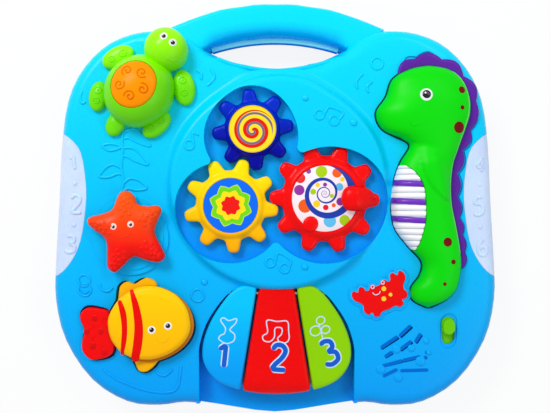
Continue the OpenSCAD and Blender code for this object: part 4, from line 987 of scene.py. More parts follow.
def starPieces():
    # the puffed figure on its hub, with bumps along each arm
    centre, foot = np.array(starLook["centre"]), starLook["foot"]
    plan = shrunk(starOutline, centre, 1 - (np.arange(18) / 18) ** 1.5)
    rows = [atHeight(drawnIn(starOutline, inwards), foot + up) for inwards, up in ((1.2, 0), (0.3, 0.5))]
    rows += [atHeight(starOutline, foot + 1.6), *atHeight(plan, starHeight(plan))]
    parts = [skin(rows)] + [dome(oval(centre, radius, radius), centre, *z, 4) for radius, *z in starLook["hub"]]
    for tip in np.array(starLook["arms"], float):
        aside = np.array([-tip[1], tip[0]]) / np.linalg.norm(tip)
        spots = [centre + tip * along + aside * off for along, off in starLook["bumps"]]
        parts += [dot(spot, 1.6, 0.75, starHeight, 16, 0.5) for spot in spots]
    smile = smoothLine([(-131.6, -20.4), (-128.6, -23.8), (-124.0, -24.6), (-119.4, -22.6), (-117.6, -19.8)], 8)
    parts.append(ribbon(smile, 0.9, 0.4, starHeight))
    addPiece("starfishBody", parts, "star_spinner", starPlastic, ["starfish"])
    eyes("starfish", [(-131.7, -15.4), (-117.6, -13.6)], 2.75, starHeight, "star_spinner", pinkEnamel, 0.46,
         (0.1, -0.2))


starPieces()
print("starfish made")


# fish

fishLook = {
    "centre": (-103, -97), "shoulder": 53.6, "rise": 2.7, "field": 0.7,
    "outline": [[-67.3, -99], [-70.6, -84.2], [-81, -72.6], [-97, -65.4], [-112.5, -65.8], [-128, -75], [-136.6, -88],
                [-137.9, -98.5], [-134.5, -110.5], [-125.5, -121], [-113, -127], [-100, -127.6], [-84.6, -122],
                [-72.6, -112]],
    "stripes": [([(-128.3, -76.2), (-125.0, -86), (-123.6, -98), (-124.2, -110), (-126.2, -121.6)],
                 (3.4, 5.0, 4.6, 4.2, 2.6)),
                ([(-118.6, -67.4), (-114.6, -80), (-112.0, -97), (-112.8, -112), (-115.6, -127.2)],
                 (2.8, 5.4, 7.0, 7.4, 6.6))],
}
fishOutline = smoothLoop(fishLook["outline"], 9)


def fishHeight(plan):
    # a flat back with a wide soft shoulder and a small raised inner field
    d = edgeDistance(plan, fishOutline)
    back = fishLook["shoulder"] + fishLook["rise"] * quarter(d, 4.5)
    return back + fishLook["field"] * quarter(np.clip(d - 4.6, 0, None), 3)


def fishPieces():
    # the back leans inwards on the side that faces front and right
    centre, shoulder = np.array(fishLook["centre"]), fishLook["shoulder"]
    toTop = fishOutline - centre
    facing = np.clip((toTop @ [0.72, -0.69]) / np.linalg.norm(toTop, axis=1) * 1.5 + 0.1, 0, 1)[:, None]
    top = fishOutline * (1 - facing) + drawnIn(fishOutline, 2.4) * facing
    plan = shrunk(top, centre, 1 - (np.arange(22) / 22) ** 1.5)
    z = shoulder + (fishHeight(plan) - shoulder) * np.clip(edgeDistance(plan, top) / 2.6, 0, 1) ** 0.4
    parts = [skin([atHeight(fishOutline, 50), atHeight(fishOutline, 51.8), atHeight(top, 52.6), *atHeight(plan, z)])]
    smile = smoothLine([(-97.6, -106.4), (-95.4, -109.6), (-92, -110.6), (-88.8, -109.0), (-87.6, -106.2)], 8)
    parts.append(ribbon(smile, 0.9, 0.35, fishHeight))
    addPiece("fishBack", parts, "fish_button", fishPlastic, ["fish_body"])
    stripes = []
    for path, widths in fishLook["stripes"]:
        run = smoothLine(np.column_stack([path, widths]), 12)
        stripes.append(ribbon(run[:, :2], run[:, 2], 0.22, fishHeight, power=0.3, sides=14))
    addPiece("fishStripes", stripes, "fish_button", redEnamel)
    tailTop = max(v.co.z for v in nodes["fish_tail"].data.vertices) * 1000
    knobs = seenAt([(94.9, 318), (86.9, 331.3), (101, 331.3), (93, 345.5), (104.4, 352.5)], tailTop)
    addPiece("fishTailKnobs", [dot(spot, 2.7, 0.55, level(tailTop)) for spot in knobs], "fish_button",
             deepRed)
    eyes("fish", [(-101.3, -100.6), (-87.9, -97.3)], 3.3, fishHeight, "fish_button", whiteEnamel, 0.6,
         (0.0, 0.3))


fishPieces()
print("fish made")


# seahorse

seaLook = {
    "front": [[127, 118.4], [112, 115.2], [98.4, 107], [92.8, 92.4], [84.6, 79], [90, 65.5], [106.5, 57.4], [112.6, 51],
              [105, 37.5], [99.6, 21], [97.6, 3], [100.4, -16.5], [111, -31.5], [122.6, -45], [121.4, -56.5],
              [114, -67.5], [115.2, -77], [126, -82.8]],
    "back": [[129, 118.4], [145.6, 114.6], [156.6, 105.5], [162, 92], [162.6, 79], [159.4, 67.5], [154.6, 54.5],
             [151.6, 46], [148.4, 36], [146.6, 20], [147.2, 3], [150.8, -15], [153.8, -32], [155, -46], [153.8, -58],
             [150.4, -69], [142, -77], [129, -82.8]],
    "rise": [0.12, 0.52, 0.8, 0.94, 1, 0.96, 0.86, 0.8, 0.84, 0.9, 0.92, 0.9, 0.84, 0.78, 0.78, 0.78, 0.6, 0.15],
    "belly": [[103.4, 35.8], [110, 33.6], [117, 27], [121.6, 18], [123.4, 8], [123.6, -8], [121.4, -22],
              [117.2, -34.6]],
    "ribPitch": 4.97, "ribAt": 19.9, "purple": (19.9, 5.0, -9.9), "height": 17, "edge": 46.5, "foot": 43.5,
    "fin": ((124, 46), (141.5, 6)), "bumps": [(1.6, 106, 78, 160), (1.2, 123, 92, 90)],
    "dots": [(153.6, 96.8, 3.0), (153.6, 82.1, 1.9), (151.1, 65.8, 4.8), (141.3, -28.2, 3.8), (146.2, -44.5, 2.1),
             (138.9, -62.5, 1.6)],
}
seaSteps, seaAcross = 12, 150
seaFront = smoothLine(seaLook["front"], seaSteps)
seaBack = smoothLine(seaLook["back"], seaSteps)
seaRise = smoothLine(np.array(seaLook["rise"])[:, None], seaSteps)[:, 0] * seaLook["height"]


def pectoral(plan):
    # a leaf laid on the breast: a low round bulge along a line, crisp below and running out above
    a, b = (np.array(q, float) for q in seaLook["fin"])
    way = (b - a) / np.linalg.norm(b - a)
    s = ((plan - a) @ way) / np.linalg.norm(b - a)
    t = (plan - a) @ np.array([-way[1], way[0]])
    half = 9.5 * np.sin(math.pi * np.clip(s * 0.86 + 0.14, 0, 1)) ** 0.7 + 0.01
    bulge = cap(t / half) * np.clip((s + 0.12) * 3, 0, 1)
    return 3.0 * bulge * np.where((s > -0.12) & (s < 1), 1, 0)


def seaArch(front, back, rise, share):
    # across the figure the height follows the sine to the power 0.8 between the two rails; cheek and brow are
    # bell-shaped
    plan = front[:, None] * (1 - share)[..., None] + back[:, None] * share[..., None]
    arch = (2 * np.sqrt(np.clip(share * (1 - share), 0, 1))) ** 0.8
    raised = pectoral(plan)
    for lift, x, y, spread in seaLook["bumps"]:
        raised = raised + lift * np.exp(-((plan[..., 0] - x) ** 2 + (plan[..., 1] - y) ** 2) / spread)
    return atHeight(plan, seaLook["edge"] + rise[:, None] * arch + raised * arch)


seaShares = np.broadcast_to(np.linspace(0, 1, seaAcross), (len(seaFront), seaAcross))
seaFlat = seaArch(seaFront, seaBack, seaRise, seaShares).reshape(-1, 3)


def seaHeight(plan):
    # the mean of the four nearest points of the arch, weighted by nearness
    p = plan.reshape(-1, 2)
    x, y, reach = p[:, 0].mean(), p[:, 1].mean(), np.hypot(*np.ptp(p, axis=0)) + 6
    near = seaFlat[np.hypot(seaFlat[:, 0] - x, seaFlat[:, 1] - y) < reach]
    away = ((p[:, None] - near[None, :, :2]) ** 2).sum(-1)
    pick = np.argpartition(away, 4, axis=1)[:, :4]
    weight = 1 / (np.take_along_axis(away, pick, 1) + 0.01)
    return ((near[pick, 2] * weight).sum(1) / weight.sum(1)).reshape(plan.shape[:-1])


def bellyShares():
    # where the belly's edge crosses each section, as a share of the way from the front rail
    edge = smoothLine(seaLook["belly"], 10)
    pick = ((edge[:, None] - seaFlat[None, :, :2]) ** 2).sum(-1).argmin(1)
    station, share = pick // seaAcross, (pick % seaAcross) / (seaAcross - 1)
    order = np.argsort(station, kind="stable")
    shares = np.interp(np.arange(len(seaFront)), station[order], share[order], left=0.0, right=0.0)
    return shares, station.min(), station.max()


def seahorsePieces():
    # the figure, sunk where the belly lies on it, then the pleated belly, the dots, the seam of painted shadow and the
    # pale rim of painted highlight
    limit, first, last = bellyShares()
    foot = seaLook["foot"]
    limit = np.convolve(np.pad(limit, 2, mode="edge"), np.ones(5) / 5, "valid")
    edge = np.maximum(limit, 0.02)
    sunk = 3.4 * np.clip((limit - 0.02) / 0.06, 0, 1)
    inner = (np.linspace(0, 1, 12)[None] * (edge - 0.007)[:, None])
    t = (1 - np.cos(np.linspace(0, math.pi, 30))) / 2
    t = np.interp(np.linspace(0, 1, 26), np.linspace(0, 1, 30), t)
    outer = (edge + 0.001)[:, None] + (1 - edge - 0.001)[:, None] * t[None]
    low = seaArch(seaFront, seaBack, seaRise, inner)
    low[..., 2] -= sunk[:, None] * np.clip(np.linspace(0, 3, 12), 0, 1)[None]
    high = seaArch(seaFront, seaBack, seaRise, outer)
    back, front = (atHeight(rail, foot)[:, None] for rail in (seaBack, seaFront))
    section = np.concatenate([back, high[:, ::-1], low[:, ::-1], front], 1)
    mouth = smoothLine([(109.2, 70.2), (111.2, 67.6), (114.4, 66.8), (117.4, 68.4)], 8)
    addPiece("seahorseFigure", [skin(section), ribbon(mouth, 0.9, 0.35, seaHeight)], "base",
             grassPlastic, ["seahorse_body"], sharp=50)

    rows = np.arange(first, last + 1e-6, 0.2)
    fine = lambda values: np.stack([np.interp(rows, np.arange(len(seaFront)), v) for v in np.asarray(values).T], -1)
    front, back, rise, top = fine(seaFront), fine(seaBack), fine(seaRise[:, None])[:, 0], fine(limit[:, None])[:, 0]
    share = np.linspace(0, 1, 16)[None] * np.maximum(top - 0.006, 0.004)[:, None]
    belly = seaArch(front - [0.5, 0], back, rise, share)
    fold = np.abs(np.sin(math.pi * (belly[..., 1] - seaLook["ribAt"] - seaLook["ribPitch"] / 2) / seaLook["ribPitch"]))
    belly[..., 2] += -1.9 + 1.5 * fold ** 0.7
    belly[:, :, 2] -= 0.8 * (1 - quarter(np.minimum(share, top[:, None] - share) * 45, 2.0))
    floor = belly[:, [0, -1]].copy()
    floor[..., 2] = foot
    section = np.concatenate([floor[:, 1:], belly[:, ::-1], floor[:, :1]], 1)
    addPiece("seahorseBelly", [skin(section)], "base", pleatedBelly(), ["seahorse_belly"], sharp=70)
    addPiece("seahorseDots", [dot((x, y), size, 0.3, seaHeight) for x, y, size in seaLook["dots"]], "base",
             maroonEnamel)
    # a dark strip on the face round the figure's foot: painted shadow of the gap
    seat = drawnIn(np.vstack([seaFront, seaBack[::-1]]), -0.6)
    addPiece("seahorseSeamShadow", [ribbon(seat, 1.5, 0.12, level(faceTop), closed=True)], "base", seamShadowPaint)
    # a pale bead along the back whose colour is a painted highlight
    rim = seaFront[14:150] * 0.03 + seaBack[14:150] * 0.97
    addPiece("seahorseRimHighlight", [ribbon(rim, 0.9, 0.3, seaHeight)], "base", rimHighlightGreen)
    eyes("seahorse", [(123, 91.9)], 5.1, seaHeight, "base", whiteEnamel, 0.68, (0.1, 0.2))


def pleatedBelly():
    # white cloth-like plastic, purple on three of the folds, with painted shade greying the creases
    finish = Finish("pleatedBelly", {"IOR": 1.46, "Coat Weight": 0.2})
    x, y = finish.around((110, 0))
    wobble = finish.noise(120, 2, 0.5)
    lean = y + x * 0.06 + (wobble - 0.5) * 0.7
    pitch = seaLook["ribPitch"]
    creaseShade = abs(finish.maths("SINE", (y - seaLook["ribAt"] - pitch / 2) * (math.pi / pitch)))
    colour = finish.blend(finish.ramped(creaseShade, 0.0, 0.55), tint(186, 190, 206), tint(246, 247, 250))
    for at in seaLook["purple"]:
        colour = finish.blend(finish.within(lean, at - 2.5, at + 2.5, 0.2), colour, tint(104, 16, 184))
    weave = finish.noise(900, 3, 0.6)
    return finish.give(baseColor=colour, roughness=0.42 + weave * 0.1,
                       normal=finish.relief(weave + wobble, 0.1, 0.0005))


finLook = {
    "marks": [[102.6, 112], [117, 124.5], [139.5, 124], [157.5, 110], [168.4, 89], [163.6, 65], [157, 48],
              [152.6, 28.5], [152.6, 9], [154, -8.5], [156.6, -23], [158.4, -37], [157.6, -50]],
    "bulge": [5, 5.6, 6, 5.6, 4.4, 3.6, 3.4, 3, 3, 2.8, 2.6, 2.4],
}


def finPiece():
    # lobes bulging by the sine of the way between marks; the section rises softly from the outer edge to the figure
    marks = np.array(finLook["marks"], float)
    way = np.diff(marks, axis=0)
    out = np.stack([-way[:, 1], way[:, 0]], -1) / np.linalg.norm(way, axis=1)[:, None]
    t = np.linspace(0, 1, 16, endpoint=False)
    lobe = np.array(finLook["bulge"])[:, None] * np.sin(math.pi * t) ** 0.9
    edge = (marks[:-1, None] + way[:, None] * t[None, :, None] + out[:, None] * lobe[..., None]).reshape(-1, 2)
    edge = np.vstack([edge, marks[-1:]])
    loop = np.vstack([seaFront[::-1], seaBack])
    near = loop[((edge[:, None] - loop[None]) ** 2).sum(-1).argmin(1)]
    near = smoothLine(near[np.linspace(0, len(near) - 1, 60).round().astype(int)], 4)
    near = near[np.linspace(0, len(near) - 1, len(edge)).round().astype(int)]
    away = edge - near
    length = np.linalg.norm(away, axis=1)[:, None]
    near = near + away / length * 0.3
    share = np.array([0, 0.04, 0.12, 0.24, 0.4, 0.6, 0.8, 1.0])
    plan = edge[:, None] * (1 - share)[None, :, None] + near[:, None] * share[None, :, None]
    depth = share[None] * length
    crown = 45.9 + 2.4 * quarter(depth, 2.6)
    foot = seaLook["foot"]
    section = np.concatenate([atHeight(edge, foot)[:, None], atHeight(plan, crown), atHeight(near, foot)[:, None]], 1)
    addPiece("seahorseCrest", [skin(section)], "base", violetPlastic, ["seahorse_fin"], sharp=60)


seahorsePieces()
finPiece()
print("seahorse made")


# keys

keyLook = {
    "middle": 1.4, "gap": 1.8, "wall": 2.4, "thick": 3.4, "top": 49, "foot": 33,
    "half": [[29, -153.5], [50, -144.5], [60.5, -131], [61.8, -115], [56, -97], [47, -82], [37, -70], [27, -64.8],
             [14, -66.3]],
    "centres": [(-36, -110), (0, -112), (36, -110)], "split": (14.2, 0.16034, 58), "corner": 26, "soft": 2.6,
    "roll": {"from": -143, "run": 15.3, "depth": 12, "share": 0.94}, "lip": {"from": -132, "run": 8, "out": 0.8},
}
keysOutline = smoothLoop(np.vstack([[[0, -157.5]], keyLook["half"], [[0, -66.8]], mirrored(keyLook["half"])]), 10)


def keyOutline(which):
    # seen from the key's own centre, the nearest of the common outline and the slanting cuts, corners rounded
    centre = np.array(keyLook["centres"][which], float)
    a = np.linspace(-math.pi, math.pi, 300, endpoint=False)
    way = rays(a)
    seen = keysOutline - centre
    angle = np.arctan2(seen[:, 1], seen[:, 0])
    order = np.argsort(angle)
    reach = [np.interp(a, angle[order], np.hypot(seen[:, 0], seen[:, 1])[order], period=2 * math.pi)]
    start, slope, at = keyLook["split"]
    inwards = 1 if which == 1 else -1
    for hand in ((-1, 1) if which == 1 else (which - 1,)):
        normal = inwards * np.array([hand, slope])
        far = inwards * (start - slope * at) - keyLook["gap"] / 2 - normal @ centre
        facing = way @ normal
        reach.append(np.where(facing > 1e-6, far / np.maximum(facing, 1e-6), 1e3))
    together = (np.array(reach) ** -keyLook["corner"]).sum(0) ** (-1 / keyLook["corner"])
    return centre + way * together[:, None] + [keyLook["middle"], 0], centre + [keyLook["middle"], 0]


def keyPiece(name, which, body, node, finish):
    # a hollow cap, its top flat but rolled down at the front, with soft edges and a lip along the front's foot
    outline, centre = keyOutline(which)
    roll, edge = keyLook["roll"], keyLook["lip"]

    def height(plan, less=0):
        run = np.clip((roll["from"] - plan[..., 1]) / roll["run"], 0, 1)
        return keyLook["top"] - less - roll["depth"] * (1 - np.sqrt(1 - (run * roll["share"]) ** 2))

    plan = shrunk(outline, centre, 1 - (np.arange(18) / 18) ** 1.6)
    soft = keyLook["soft"]
    z = height(plan) - soft * (1 - quarter(edgeDistance(plan, outline), soft))
    inner = drawnIn(outline, keyLook["wall"])
    hollow = shrunk(inner, centre, [0.3, 0.6, 0.9, 1.0])
    lip = drawnIn(outline, -edge["out"])
    lip = outline + (lip - outline) * np.clip((edge["from"] - outline[:, 1:]) / edge["run"], 0, 1)
    foot = keyLook["foot"]
    rows = list(atHeight(hollow, height(hollow, keyLook["thick"])))
    rows += [atHeight(loop, foot + up) for loop, up in ((inner, 0), (lip, 0), (lip, 0.7), (outline, 1.1), (outline, 3))]
    rows += list(atHeight(plan, z))
    addPiece(name, [skin(rows)], body, finish, [node], sharp=50)


strokes = {
    1: [straight((0.08, 0.76), (0.36, 1.0)), straight((0.36, 1.0), (0.36, 0.0))],
    2: [smoothLine([[0.05, 0.78], [0.18, 0.98], [0.42, 0.98], [0.56, 0.78], [0.44, 0.5], [0.2, 0.24], [0.04, 0.02]], 8),
        straight((0.04, 0.02), (0.62, 0.02))],
    3: [smoothLine([[0.06, 0.9], [0.26, 1.0], [0.5, 0.92], [0.52, 0.68], [0.26, 0.54]], 8),
        smoothLine([[0.26, 0.54], [0.58, 0.44], [0.6, 0.14], [0.3, 0.0], [0.02, 0.1]], 8)],
    4: [straight((0.44, 0), (0.44, 1)), straight((0.44, 1), (0.04, 0.32)), straight((0.04, 0.32), (0.66, 0.32))],
    5: [straight((0.54, 1), (0.14, 1)), straight((0.14, 1), (0.1, 0.58)),
        smoothLine([[0.1, 0.58], [0.34, 0.64], [0.58, 0.46], [0.54, 0.12], [0.28, 0.0], [0.04, 0.1]], 8)],
    6: [smoothLine([[0.5, 0.96], [0.28, 0.84], [0.1, 0.5], [0.1, 0.16], [0.32, 0.0], [0.54, 0.14], [0.54, 0.4],
                    [0.32, 0.54], [0.12, 0.38]], 8)],
}


def numeral(number, centre, height, degrees=0):
    # the strokes of a figure, scaled about its middle, turned and placed
    return [np.asarray(centre, float) + turned((stroke - [0.32, 0.5]) * height, degrees) for stroke in strokes[number]]


keyPrint = [
    {"piece": "keyOne", "finish": keySkyPlastic, "body": "left_key", "node": "blue_key", "number": 1,
     "at": (224, 356), "size": 19, "turn": -6,
     "icon": [(220.7, 320.5), (223.5, 317.7), (229, 320.5), (236.4, 318.6), (235.5, 323.3), (229.9, 329.7),
              (234.6, 334.4), (233.6, 340.8), (226.2, 343.4), (218.9, 339), (220.8, 335.2), (224.4, 333.4),
              (225.3, 327.8)]},
    {"piece": "keyTwo", "finish": keyRedPlastic, "body": "middle_key", "node": "red_key", "number": 2,
     "at": (279, 357.5), "size": 21, "turn": -4,
     "icon": [(266.9, 320.5), (277, 321.4), (287.3, 321.4), (288.6, 331), (289.1, 338.1), (286.3, 342.5),
              (280.4, 342.5), (277.6, 338.4), (281.4, 334.0), (281.7, 328.2), (275.2, 328.2), (274.3, 337.1),
              (269.7, 341.6), (263.8, 340.4), (262.9, 335.8), (267.6, 332.0)]},
    {"piece": "keyThree", "finish": limePlastic, "body": "right_key", "node": "green_key", "number": 3,
     "at": (329, 352.5), "size": 20, "turn": 18,
     "rings": (((320.6, 320.4), 3.6), ((315.6, 330.8), 4.6), ((325.6, 329.6), 3.6)),
     "stem": [(319, 324), (321, 332), (322.6, 340), (318.6, 342)]},
]


def keyIcon(entry, on, thin):
    # a closed outline, or a flower: rings and a stem
    if "icon" in entry:
        return [thin(smoothLoop(on(entry["icon"]), 6), closed=True)]
    rings = [thin(oval(on(spot), size, size * 0.86, 30, 40), closed=True) for spot, size in entry["rings"]]
    return rings + [thin(smoothLine(on(entry["stem"]), 8))]


def printKey(entry):
    # a white field under the figure and its icon, then the blue figure, all riding the key
    top = keyLook["top"]
    on = lambda pixels: seenAt(pixels, top)
    thin = lambda path, closed=False: ribbon(path, 1.0, 0.2, level(top), closed=closed, power=0.4, sink=0.3)
    broad = lambda path, width, lift: ribbon(path, width, lift, level(top), sides=14, power=0.3, sink=0.3)
    runs = [smoothLine(run, 3) for run in numeral(entry["number"], on(entry["at"]), entry["size"], entry["turn"])]
    white = [broad(run, 6.0, 0.2) for run in runs] + keyIcon(entry, on, thin)
    addPiece(entry["node"] + "Outline", white, entry["body"], whiteInk)
    addPiece(entry["node"] + "Figure", [broad(run, 4.2, 0.34) for run in runs], entry["body"], blueInk)


for which, entry in enumerate(keyPrint):
    keyPiece(entry["piece"], which, entry["body"], entry["node"], entry["finish"])
for entry in keyPrint:
    printKey(entry)
print("keys made")


# raised ornaments of the face

relief = {
    "beads": [((305.2, 97.8), 2.8, deckTop), ((353.6, 122.5), 3.0, deckTop), ((204.4, 282), 2.8, faceTop),
              ((304.8, 266.8), 2.8, deckTop)],
    "rings": [((377, 63.3), 4.9), ((197.6, 295.3), 5.2), ((84.2, 280.4), 4.9), ((84.9, 289.4), 5.3)],
    "bubbles": [[(363.1, 73.2), (356.5, 80.8), (357.4, 89.3)], [(372.6, 80.8), (366.9, 86.5), (368.8, 93.1)],
                [(196.4, 69.9), (201.4, 73.6), (200.8, 80.4)], [(211, 68.4), (214.4, 77.2), (206.7, 86)]],
    "notes": [([(319.4, 114.4), (334, 120.3)], [(324.6, 113.6), (329.4, 107), (342.7, 112.4), (338.9, 119.6)]),
              ([(270.3, 262.2), (284.4, 268.0)], [(275.6, 261), (278.4, 252.8), (290.2, 259.4), (289.4, 266.6)]),
              ([(189.1, 144.7)], [(193.8, 143), (192.6, 132.8), (199, 135.4)])],
    "weeds": [[(123.4, 127.6), (122.2, 140), (122.8, 152), (121.4, 166), (123.4, 181), (120.8, 196)],
              [(101.1, 145.4), (109.9, 150.4), (121.4, 146.6), (111, 143.6), (101.1, 145.4)],
              [(124.0, 132.5), (133.3, 128.8), (142.1, 134.9), (150.2, 145.7), (138.4, 142.4), (128.6, 137.6),
               (123.4, 139)],
              [(123.1, 147.7), (133.3, 148.2), (142, 155.4), (148, 164.4), (136, 161), (127.4, 156.4), (123, 156)],
              [(121.6, 168), (112.6, 164.4), (104.6, 168.6), (99.6, 176.4), (109.6, 176.8), (117.6, 173.6),
               (122, 174.6)],
              [(123, 184), (130, 178.4), (139.6, 180.6), (146.6, 188), (136.4, 190), (128.4, 188.6), (122.4, 191)]],
    "ripples": [[(82, 90.4), (80.2, 97), (82, 103), (86.2, 101.2)],
                [(99.4, 282.6), (101.6, 289), (108, 291), (113.3, 286.8)],
                [(102.4, 368.6), (118.2, 379.5), (144.8, 389.6), (166.7, 392.4), (177.4, 386.4), (181.2, 364)],
                [(156, 372.4), (164.4, 375.4), (172.8, 368.6)]],
    "smiles": [[(79.4, 281.4), (84.4, 284.8), (90, 281.8)], [(80, 289.4), (85, 293), (90.4, 289.8)]],
    "pebbles": [((426, 340.8), 2.8), ((411.2, 348.2), 3.1), ((396.4, 349.2), 3.6), ((420.4, 361.2), 4.2),
                ((428.8, 352.6), 2.2), ((380.7, 369.5), 3.9), ((398.2, 377.8), 3.6)],
}


def faceRelief():
    # beads, rings, notes, weeds and ripples: low ribbons and caps in the shell's own plastic
    def line(pixels, width=2.5, lift=1.25, height=faceTop):
        return ribbon(smoothLine(seenAt(pixels, height), 8), width, lift, faceHeight)

    def ring(spot, size, height=faceTop):
        return ribbon(oval(seenAt(spot, height), size, size, 0, 44), 2.1, 1.1, faceHeight, closed=True)

    def bead(spot, size, height=faceTop, lift=1.9):
        return dot(seenAt(spot, height), size, lift, faceHeight)

    parts = [bead(*entry) for entry in relief["beads"]] + [ring(*entry) for entry in relief["rings"]]
    parts += [line(pixels) for pixels in relief["bubbles"]]
    for heads, stem in relief["notes"]:
        parts += [ring(spot, 3.9, deckTop) for spot in heads] + [line(stem, 2.2, 1.1, deckTop)]
    parts += [line(pixels) for pixels in relief["weeds"] + relief["ripples"]]
    parts += [line(pixels, 1.1) for pixels in relief["smiles"]]
    return parts + [bead(*entry, lift=1.3) for entry in relief["pebbles"]]


addPiece("faceOrnaments", faceRelief(), "base", skyPlastic)


def panelMarks():
    # figures and small beads raised on the two light covers
    parts = []
    for spot, number, size, degrees in (((73.5, 162.5), 1, 12, 6), ((76, 204), 2, 15, 0), ((70, 244), 3, 14, -8),
                                        ((480.5, 164.5), 4, 12, -6), ((478.5, 206), 5, 15, 0), ((482, 247), 6, 14, 8)):
        for stroke in numeral(number, seenAt(spot, faceTop), size, degrees):
            parts.append(ribbon(smoothLine(stroke, 3), 3.0, 1.1, faceHeight, sides=12, power=0.6))
    for spot in ((75, 183.4), (74, 225), (480, 184.4), (480.4, 227)):
        parts.append(dot(seenAt(spot, faceTop), 1.9, 0.8, faceHeight))
    return parts


addPiece("coverFigures", panelMarks(), "base", milky)

speakerSlots = {"centre": (109, -122), "lift": 0.05, "runs": [
    [(-19.5, 5), (-7, 13.5)], [(-4, 15), (4, 22.5)], [(9, 10), (12.5, 15.5)], [(-3.5, 3.5), (4.5, 9.5)],
    [(-16, -2.5), (-11.5, 0.5)], [(-18, -10.5), (-3, -6.5)], [(-1, -6), (12, -3)], [(-17.5, -19), (-7.5, -14)],
    [(-3, -14.7), (18.5, -14.2)], [(18, 0.5), (18.2, 0.7)], [(17, -3.6), (17.2, -3.4)]]}


def slotShadeStrips():
    # a flat blue strip laid over each sound slot, as wide as the slot looks from above: painted shade of the slot's
    # depth
    strips = []
    for a, b in np.array(speakerSlots["runs"], float):
        longer = (b - a) / np.linalg.norm(b - a) * 1.4
        path = straight(a - longer, b + longer, 16) + speakerSlots["centre"]
        strips.append(ribbon(path, 3.0, speakerSlots["lift"], level(faceTop), power=0.3, sink=0.5))
    return strips


addPiece("slotShadeStrips", slotShadeStrips(), "base", slotShadeBlue)

crab = {"z": 46, "centre": (90.6, -74.6), "turn": 24, "border": 2.4,
        "half": [[0, -11.4], [5.8, -11], [9.4, -13.4], [13.4, -12], [13.6, -8.6], [17.6, -8.6], [19.6, -4.6],
                 [18.4, -1], [19.4, 2.4], [23.2, 6.6], [23.8, 11.4], [21, 14.4], [18, 11.8], [15.2, 15.2], [12.2, 13.8],
                 [11.2, 10.4], [8.6, 10], [6.4, 12.8], [3.2, 12.6], [2, 10.4]],
        "eyes": [(-4.8, 11.2), (4.4, 11.1)],
        "spots": [((383.8, 288.7), 2.0), ((390.5, 294.6), 1.6), ((383.8, 298.7), 2.0)],
        "smile": [(372.6, 292.4), (375.2, 294.8), (379, 293.6), (380.4, 290.8)]}


def crabBorder(outline, steps=160):
    # the furthest reach of the widened outline in each even share of a turn
    spread = outline[None] + oval((0, 0), crab["border"], crab["border"], 0, 24)[:, None]
    angle, reach = np.arctan2(spread[..., 1], spread[..., 0]).ravel(), np.hypot(spread[..., 0], spread[..., 1]).ravel()
    furthest = np.zeros(steps)
    np.maximum.at(furthest, ((angle + math.pi) / (2 * math.pi) * steps).astype(int) % steps, reach)
    middles = np.linspace(-math.pi, math.pi, steps, endpoint=False) + math.pi / steps
    return furthest[:, None] * rays(middles)


def crabPieces():
    # a flat sheet printed with eyes, spots and a smile, and a raised line round it on the face
    own = lambda points: turned(points, crab["turn"]) + crab["centre"]
    outline = smoothLoop(np.vstack([crab["half"], mirrored(crab["half"][1:])]), 6)
    z, top, eyeSpots = crab["z"], level(crab["z"]), own(np.array(crab["eyes"]))
    fine = {"sink": 0.2, "power": 0.4}
    smile = smoothLine(seenAt(crab["smile"], z), 8)
    rings = [ribbon(oval(s, 1.35, 1.35, 0, 28), 0.8, 0.16, top, closed=True, **fine) for s in eyeSpots]
    printed = (("crabEyeRings", rings, whiteInk),
               ("crabPupils", [dot(s, 0.45, 0.14, top, 16, 0.2) for s in eyeSpots], blackEnamel),
               ("crabSpots", [dot(seenAt(s, z), r, 0.14, top, 24, 0.2) for s, r in crab["spots"]], butterInk),
               ("crabSmile", [ribbon(smile, 0.7, 0.14, top, **fine)], whiteInk))
    for name, parts, finish in printed:
        addPiece(name, parts, "base", finish)
    addPiece("crabPlate", [plate(own(outline), 44.9, z)], "base", redPlastic, ["crab_badge"])
    border = ribbon(own(crabBorder(outline)), 1.1, 0.5, level(45.4), closed=True)
    addPiece("crabBorder", [border], "base", skyPlastic)


crabPieces()
print("ornaments made")


# floor, light and camera

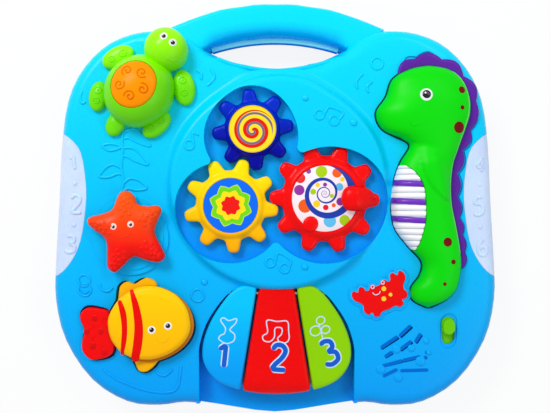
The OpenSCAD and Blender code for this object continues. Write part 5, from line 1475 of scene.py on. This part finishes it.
def studioFloor():
    # a broad plain sheet; what the lens sees of it is lifted towards white, but keeps the shadow
    mesh = bpy.data.meshes.new("studioFloor")
    mesh.from_pydata([(-4, -4, 0), (4, -4, 0), (4, 4, 0), (-4, 4, 0)], [], [(0, 1, 2, 3)])
    floor = placed("studioFloor", mesh)
    material = bpy.data.materials.new("studioFloor")
    material.use_nodes = True
    tree = Tree(material.node_tree, clear=True)
    grain = tree.node("ShaderNodeTexNoise", {}, {"Scale": 3}, "Fac")
    tone = tree.blend(grain, (0.86, 0.86, 0.87, 1), (0.88, 0.88, 0.88, 1))
    matt = tree.node("ShaderNodeBsdfDiffuse", {}, {"Color": tone})
    glow = tree.node("ShaderNodeEmission", {}, {"Color": (1, 1, 1, 1), "Strength": 1.0})
    mix = tree.node("ShaderNodeMixShader", {}, {0: tree.seen("Camera") * 0.88, 1: matt, 2: glow})
    tree.node("ShaderNodeOutputMaterial", {}, {"Surface": mix})
    mesh.materials.append(material)


def studioWorld():
    # soft grey-white light all round, plain white where the lens or a reflection looks
    world = bpy.data.worlds.new("studioWorld")
    bpy.context.scene.world = world
    world.use_nodes = True
    tree = Tree(world.node_tree, clear=True)
    soft = tree.node("ShaderNodeBackground", {}, {"Color": (0.93, 0.96, 1.0, 1), "Strength": 0.52})
    bright = tree.node("ShaderNodeBackground", {}, {"Color": (1, 1, 1, 1), "Strength": 1.0})
    direct = tree.maths("MAXIMUM", tree.seen("Camera"), tree.seen("Glossy"))
    direct = tree.maths("MAXIMUM", direct, tree.seen("Transmission"))
    mix = tree.node("ShaderNodeMixShader", {}, {0: direct, 1: soft, 2: bright})
    tree.node("ShaderNodeOutputWorld", {}, {"Surface": mix})


def lamp(name, place, size, power, colour):
    # an area lamp aimed at the middle of the toy
    data = bpy.data.lights.new(name, "AREA")
    data.shape, data.size, data.size_y, data.energy, data.color = "RECTANGLE", *size, power, colour
    light = placed(name, data)
    light.location = place
    aim = np.array([0, 0, 0.04]) - place
    light.rotation_euler = (math.atan2(math.hypot(aim[0], aim[1]), -aim[2]), 0,
                            math.atan2(aim[1], aim[0]) - math.pi / 2)


studioFloor()
studioWorld()
lamp("windowLamp", (-0.62, 0.78, 1.05), (0.55, 0.4), 11.5, (1.0, 0.985, 0.96))
lamp("fillLamp", (0.9, -0.5, 1.1), (0.9, 0.9), 3.6, (0.96, 0.98, 1.0))
lamp("stripLamp", (0.5, 0.62, 0.95), (0.5, 0.06), 1.6, (1.0, 1.0, 1.0))

lens = bpy.data.cameras.new("camera")
lens.sensor_width = view["sensor"]
lens.lens = view["sensor"] * view["slope"] / view["width"]
camera = placed("camera", lens)
camera.location = (0, 0.0009, view["lens"] / 1000)
bpy.context.scene.camera = camera
bpy.context.scene.view_settings.view_transform = "Standard"

print("stage set")
